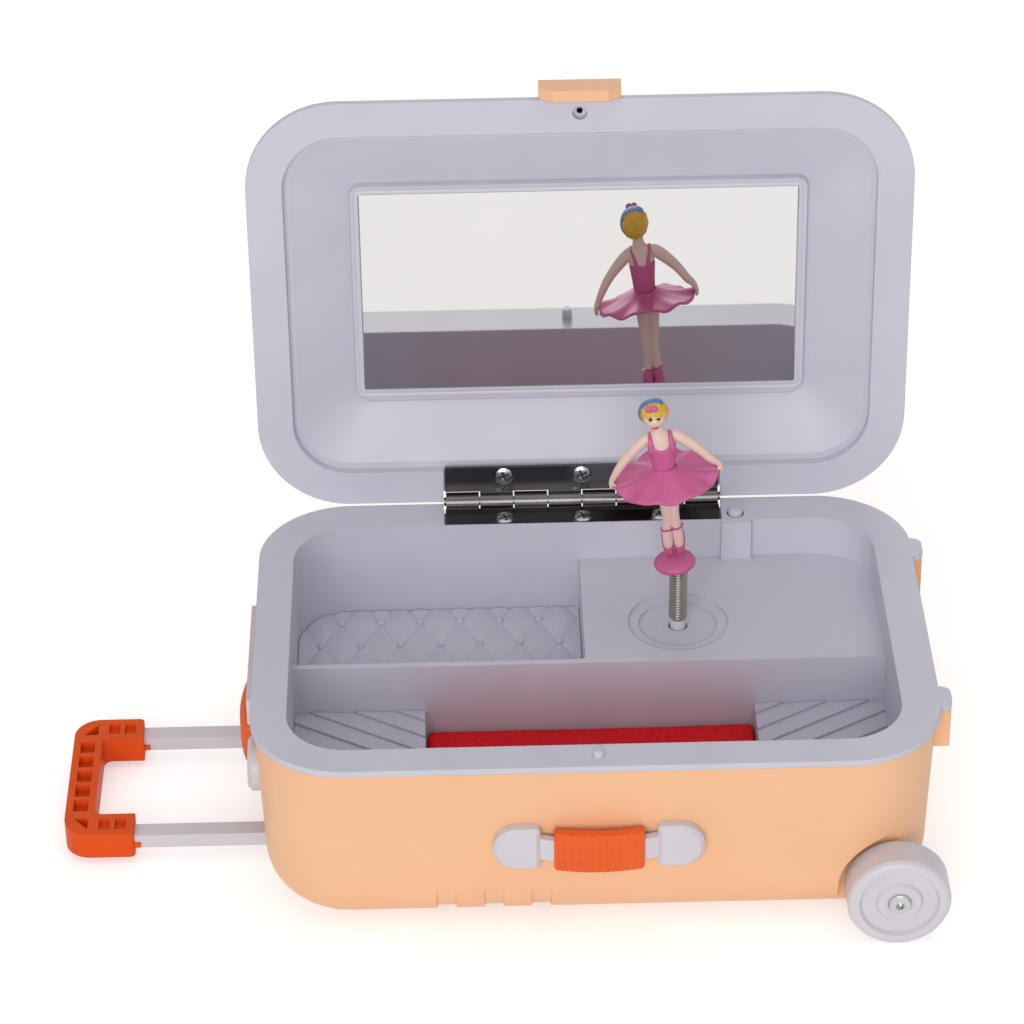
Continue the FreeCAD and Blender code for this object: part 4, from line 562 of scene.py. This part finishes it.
SLANT = math.radians(31.5)
ALONG = Vector((math.cos(SLANT), -math.sin(SLANT), 0))
ACROSS = Vector((math.sin(SLANT), math.cos(SLANT), 0))
BOARD, BOARD_START, BOARD_LONG, BOARD_X = 5.1, -33.01, 120, -39
STEP_LEVEL, BOARD_UNDER, BOARD_NEAR, BOARD_FAR = 24.7, 0.02, 0.6, 0.06
STEP_CORNER, STEP_CORNER_R = Vector((-54, -30.5, 0)), 12.8
STEP_SIDES = [((-66.9, 0, 0), (-1, 0, 0)), ((-37.45, 0, 0), (1, 0, 0)), ((0, 0.1, 0), (0, 1, 0)),
              ((0, -43.4, 0), (0, -1, 0))]
for side, name in ((-1, "left_louvres"), (1, "right_louvres")):
    work = bmesh.new()
    for i in range(-9, 8):
        board = bmesh.new()
        for vert in bmesh.ops.create_cube(board, size=1.0)["verts"]:
            near = vert.co.y < 0
            across = BOARD_START + BOARD * (i if near else i + 0.998)
            top = (BOARD_NEAR if near else BOARD_FAR) if vert.co.z > 0 else BOARD_UNDER
            spot = ACROSS * across + ALONG * (BOARD_X + BOARD_LONG * vert.co.x)
            vert.co = Vector((spot.x, spot.y, STEP_LEVEL + top))
        planes = list(STEP_SIDES)
        for step in range(9):
            a = math.radians(180 + 10 * step + 5)
            out = Vector((math.cos(a), math.sin(a), 0))
            planes.append((STEP_CORNER + out * STEP_CORNER_R, out))
        for spot, out in planes:
            trimmed(board, spot, out)
            bmesh.ops.holes_fill(board, edges=board.edges[:], sides=0)
        if board.faces:
            joined(work, board)
        else:
            board.free()
    if side > 0:
        bmesh.ops.scale(work, vec=(-1, 1, 1), verts=work.verts)
        bmesh.ops.translate(work, vec=(-0.2, 0, 0), verts=work.verts)
        bmesh.ops.reverse_faces(work, faces=work.faces[:])
    settle(name, work, lilac, "case", crease=25)

# Carry grips: bowed sleeves with a cut diamond knurl on their outer side.

GRIP_HALF, GRIP_TALL, GRIP_THICK, STRAP_BOW = 9.5, 10.0, 4.0, 2.2
STRAP_HALF, STRAP_STAND = 13.2, 1.4
STRAP_R = (STRAP_HALF ** 2 + STRAP_BOW ** 2) / (2 * STRAP_BOW)
KNURL, KNURL_DEEP, KNURL_INSET = 1.0, 0.4, 0.1
OUTER_SPOTS, INNER_SPOTS = 96, 40
GRIP_RINGS, GRIP_LIP, SECTION_POWER = 130, 0.25, 4.8


def knurled_grip(name, node, spot, quarter):
    """A sleeve on the bowed strap, its section a soft rectangle, with diamonds over the outer side."""
    work = bmesh.new()
    stations = [-GRIP_HALF - GRIP_LIP + (2 * GRIP_HALF + 2 * GRIP_LIP) * i / GRIP_RINGS
                for i in range(GRIP_RINGS + 1)]
    rings = lofted(work, [Matrix.Translation((0, 0, x)) for x in stations], OUTER_SPOTS + INNER_SPOTS)
    for ring, x in zip(rings, stations):
        end = min(1.0, (GRIP_HALF + GRIP_LIP - abs(x)) / (2 * GRIP_LIP))
        shrink = 1.0 - 0.09 * (1 - end) ** 2
        bow = STRAP_STAND + STRAP_BOW - (STRAP_R - math.sqrt(STRAP_R ** 2 - x ** 2))
        for i, vert in enumerate(ring):
            outer = i < OUTER_SPOTS
            share = (i + 0.5) / OUTER_SPOTS if outer else 1 - (i - OUTER_SPOTS + 0.5) / INNER_SPOTS
            rise = math.sin(math.pi * (share - 0.5))
            swell = (1 - abs(rise) ** SECTION_POWER) ** (1 / SECTION_POWER)
            tall = rise * (GRIP_TALL / 2 - 0.1) * shrink
            out = (swell if outer else -swell) * (GRIP_THICK / 2 - 0.15) * shrink
            u = ((x + tall) / KNURL) % 1.0
            v = ((x - tall) / KNURL) % 1.0
            tooth = min(min(u, 1 - u), min(v, 1 - v)) * 2
            if outer:
                out += (KNURL_DEEP * tooth * end - KNURL_INSET) * min(1.0, (1 - abs(rise)) * 12)
            vert.co = Vector((x, -(bow + out), tall))
    place = Matrix.Translation(spot) @ Matrix.Rotation(math.radians(quarter), 4, "Z")
    # The sleeve takes the lighter orange, a painted sheen for the knurl's highlights.
    settle(name, work, orange_with_painted_sheen, "case", place, [node], crease=50)


knurled_grip("front_grip_sleeve", "front_handle_grip", (0, -49.7, 25.8), 0)
knurled_grip("end_grip_sleeve", "end_handle_grip", (-73.7, 0, 23.6), -90)

# Lid furniture: a thin, slightly bowed looking glass in its stepped lip, and cross-headed hinge screws whose
# crosses are black bars of painted shade.

LID_LEAN = Matrix.Rotation(math.radians(-2.74), 4, "X")
LID_PLACE = Matrix.Translation((0, 63.26, 98.4)) @ LID_LEAN
LIP_SIZE, LIP_MIDDLE, LIP_CORNER_R = (104.1, 1.2, 54.5), (-0.2, -2.3, 1.2), 2.6
# Width and rise of each step of the lip, from its outer edge in.
LIP_STEPS = ((0.3, 0.9), (0.75, 0.0), (0.15, -0.12), (0.15, 0.12), (0.8, 0.0), (0.2, -1.2))
GLASS_SIZE, GLASS_MIDDLE = (99.3, 1.0, 49.7), (-0.2, -2.42, 1.2)
GLASS_BOW, GLASS_DIP, GLASS_CUTS = 0.00098, 4.45, 60


def edges_along(work, axis):
    """The edges of a box that run along an axis."""
    return [edge for edge in work.edges if abs(edge.verts[0].co[axis] - edge.verts[1].co[axis]) > 1]


work = bmesh.new()
block(work, LIP_SIZE, LIP_MIDDLE)
eased(work, edges_along(work, 1), LIP_CORNER_R, 6)
front = min(work.faces, key=lambda f: f.calc_center_median().y)
for thick, rise in LIP_STEPS:
    bmesh.ops.inset_region(work, faces=[front], thickness=thick, depth=rise, use_even_offset=True)
settle("mirror_lip", work, lilac, "lid", LID_PLACE, crease=50)
work = bmesh.new()
block(work, GLASS_SIZE, GLASS_MIDDLE)
bmesh.ops.subdivide_edges(work, edges=edges_along(work, 2), cuts=GLASS_CUTS)
for vert in work.verts:
    vert.co.y -= GLASS_BOW * (vert.co.z - GLASS_DIP) ** 2
settle("looking_glass", work, silver, "lid", LID_PLACE, ["mirror"])

# Radius and height of a raised countersunk screw, its dome just proud of the leaf.
SCREW = [(0.0, 0.18), (0.8, 0.16), (1.5, 0.02), (1.98, -0.22), (1.3, -0.9), (0.9, -1.0),
         (0.9, -3.6), (0.0, -3.6)]
SCREW_X = (-18.2, 0, 18.2)
CROSS_LONG, CROSS_WIDE, CROSS_THICK, CROSS_LEVEL = 2.5, 0.55, 0.3, 0.05


def screw_heads(name, cross_name, node, body, places):
    """Domed screws that face up in their own frame, each with a black cross laid on its dome as painted shade
    of the recess.
    """
    heads = bmesh.new()
    cross = bmesh.new()
    for place in places:
        one = bmesh.new()
        turned(one, SCREW, 40)
        bmesh.ops.transform(one, matrix=place, verts=one.verts)
        joined(heads, one)
        # Two black bars just over the dome: painted shade standing for the cross recess.
        for turn in (20, 110):
            bar = bmesh.ops.create_cube(cross, size=1.0)["verts"]
            shape = Matrix.Rotation(math.radians(turn), 4, "Z")
            shape = shape @ Matrix.Diagonal((CROSS_LONG, CROSS_WIDE, CROSS_THICK, 1.0))
            raised = place @ Matrix.Translation((0, 0, CROSS_LEVEL))
            bmesh.ops.transform(cross, matrix=raised @ shape, verts=bar)
    settle(name, heads, steel, body, None, [node])
    settle(cross_name, cross, black, body, None, smooth=False)


screw_heads("case_hinge_screws", "case_screw_painted_shade_crosses", "hinge_screws_base", "case",
            [Matrix.Translation((x, 45.0, 47.15)) for x in SCREW_X])
screw_heads("lid_hinge_screws", "lid_screw_painted_shade_crosses", "hinge_screws_lid", "lid",
            [Matrix.Translation((x, 51.98, 54.2)) @ LID_LEAN @ Matrix.Rotation(math.radians(90), 4, "X")
             for x in SCREW_X])

# Pegs that pin the pull to its rods.

ROD_Y, PEG_SIDE, PEG_X, PEG_LEVEL = 18.16, -2.3, -102.7, 4.4
PEG_SIZE, PEG_EDGE = (1.5, 0.6, 1.3), 0.15
work = bmesh.new()
for side in (-1, 1):
    block(work, PEG_SIZE, (PEG_X, ROD_Y * side + PEG_SIDE, PEG_LEVEL))
eased(work, work.edges[:], PEG_EDGE, 2)
settle("pull_pegs", work, orange, "trolley")

# Floor, light and camera.

PAPER_LIFT, SKY_LIGHT, SKY_SEEN = 0.42, 0.42, 1.0
WHITE = (1, 1, 1, 1)


def seen_rays(tree):
    """One where a camera, glossy or transmission ray arrives, and nothing elsewhere."""
    rays = tree.nodes.new("ShaderNodeLightPath")
    first = tree.nodes.new("ShaderNodeMath")
    first.operation = "MAXIMUM"
    both = tree.nodes.new("ShaderNodeMath")
    both.operation = "MAXIMUM"
    tree.links.new(rays.outputs["Is Camera Ray"], first.inputs[0])
    tree.links.new(rays.outputs["Is Glossy Ray"], first.inputs[1])
    tree.links.new(first.outputs[0], both.inputs[0])
    tree.links.new(rays.outputs["Is Transmission Ray"], both.inputs[1])
    return both.outputs[0]


floor_mesh = bpy.data.meshes.new("floor")
work = bmesh.new()
bmesh.ops.create_grid(work, x_segments=1, y_segments=1, size=4.0)
work.to_mesh(floor_mesh)
work.free()
floor = bpy.data.objects.new("floor", floor_mesh)
bpy.context.scene.collection.objects.link(floor)
paper = bpy.data.materials.new("pale_paper")
paper.use_nodes = True
tree = paper.node_tree
tree.nodes.clear()
paper_out = tree.nodes.new("ShaderNodeOutputMaterial")
paper_skin = tree.nodes.new("ShaderNodeBsdfDiffuse")
paper_place = tree.nodes.new("ShaderNodeTexCoord")
paper_noise = tree.nodes.new("ShaderNodeTexNoise")
paper_noise.inputs["Scale"].default_value = 30.0
paper_tint = tree.nodes.new("ShaderNodeValToRGB")
paper_tint.color_ramp.elements[0].color = (0.90, 0.90, 0.90, 1)
paper_tint.color_ramp.elements[1].color = (0.93, 0.93, 0.93, 1)
tree.links.new(paper_place.outputs["Object"], paper_noise.inputs["Vector"])
tree.links.new(paper_noise.outputs["Fac"], paper_tint.inputs["Fac"])
tree.links.new(paper_tint.outputs["Color"], paper_skin.inputs["Color"])
paper_lift = tree.nodes.new("ShaderNodeEmission")
paper_add = tree.nodes.new("ShaderNodeAddShader")
lift = tree.nodes.new("ShaderNodeMath")
lift.operation = "MULTIPLY"
lift.inputs[1].default_value = PAPER_LIFT
tree.links.new(seen_rays(tree), lift.inputs[0])
tree.links.new(lift.outputs[0], paper_lift.inputs["Strength"])
tree.links.new(paper_skin.outputs[0], paper_add.inputs[0])
tree.links.new(paper_lift.outputs[0], paper_add.inputs[1])
tree.links.new(paper_add.outputs[0], paper_out.inputs["Surface"])
floor_mesh.materials.append(paper)

world = bpy.data.worlds.new("studio")
world.use_nodes = True
bpy.context.scene.world = world
sky = world.node_tree
sky.nodes.clear()
sky_out = sky.nodes.new("ShaderNodeOutputWorld")
sky_light = sky.nodes.new("ShaderNodeBackground")
sky_light.inputs["Color"].default_value = WHITE
sky_light.inputs["Strength"].default_value = SKY_LIGHT
sky_seen = sky.nodes.new("ShaderNodeBackground")
sky_seen.inputs["Color"].default_value = WHITE
sky_seen.inputs["Strength"].default_value = SKY_SEEN
pick = sky.nodes.new("ShaderNodeMixShader")
sky.links.new(seen_rays(sky), pick.inputs["Fac"])
sky.links.new(sky_light.outputs[0], pick.inputs[1])
sky.links.new(sky_seen.outputs[0], pick.inputs[2])
sky.links.new(pick.outputs[0], sky_out.inputs["Surface"])


def softbox(name, spot, aim, width, power):
    """A square studio lamp that faces a point."""
    data = bpy.data.lights.new(name, "AREA")
    data.size = width
    data.energy = power
    lamp = bpy.data.objects.new(name, data)
    lamp.location = spot
    lamp.rotation_euler = (Vector(aim) - Vector(spot)).to_track_quat("-Z", "Y").to_euler()
    bpy.context.scene.collection.objects.link(lamp)


softbox("overhead_softbox", (0.05, -0.15, 1.4), (0.0, 0.0, 0.03), 1.2, 2.5)
softbox("front_softbox", (-0.25, -1.45, 0.62), (0.0, 0.0, 0.06), 1.0, 12.5)
softbox("rear_softbox", (0.35, 1.15, 1.25), (0.0, 0.0, 0.05), 1.0, 3.0)

camera_data = bpy.data.cameras.new("camera")
camera_data.sensor_width = 36.0
camera_data.lens = 133.22
camera = bpy.data.objects.new("camera", camera_data)
right = Vector((0.99971, -0.02047, -0.01278))
up = Vector((0.02195, 0.55152, 0.83387))
back = Vector((-0.01002, -0.83391, 0.55181))
turn = Matrix((right, up, back)).transposed().to_4x4()
camera.matrix_world = Matrix.Translation((-0.025370, -0.691836, 0.536246)) @ turn
bpy.context.scene.collection.objects.link(camera)
bpy.context.scene.camera = camera
bpy.context.scene.view_settings.view_transform = "Standard"
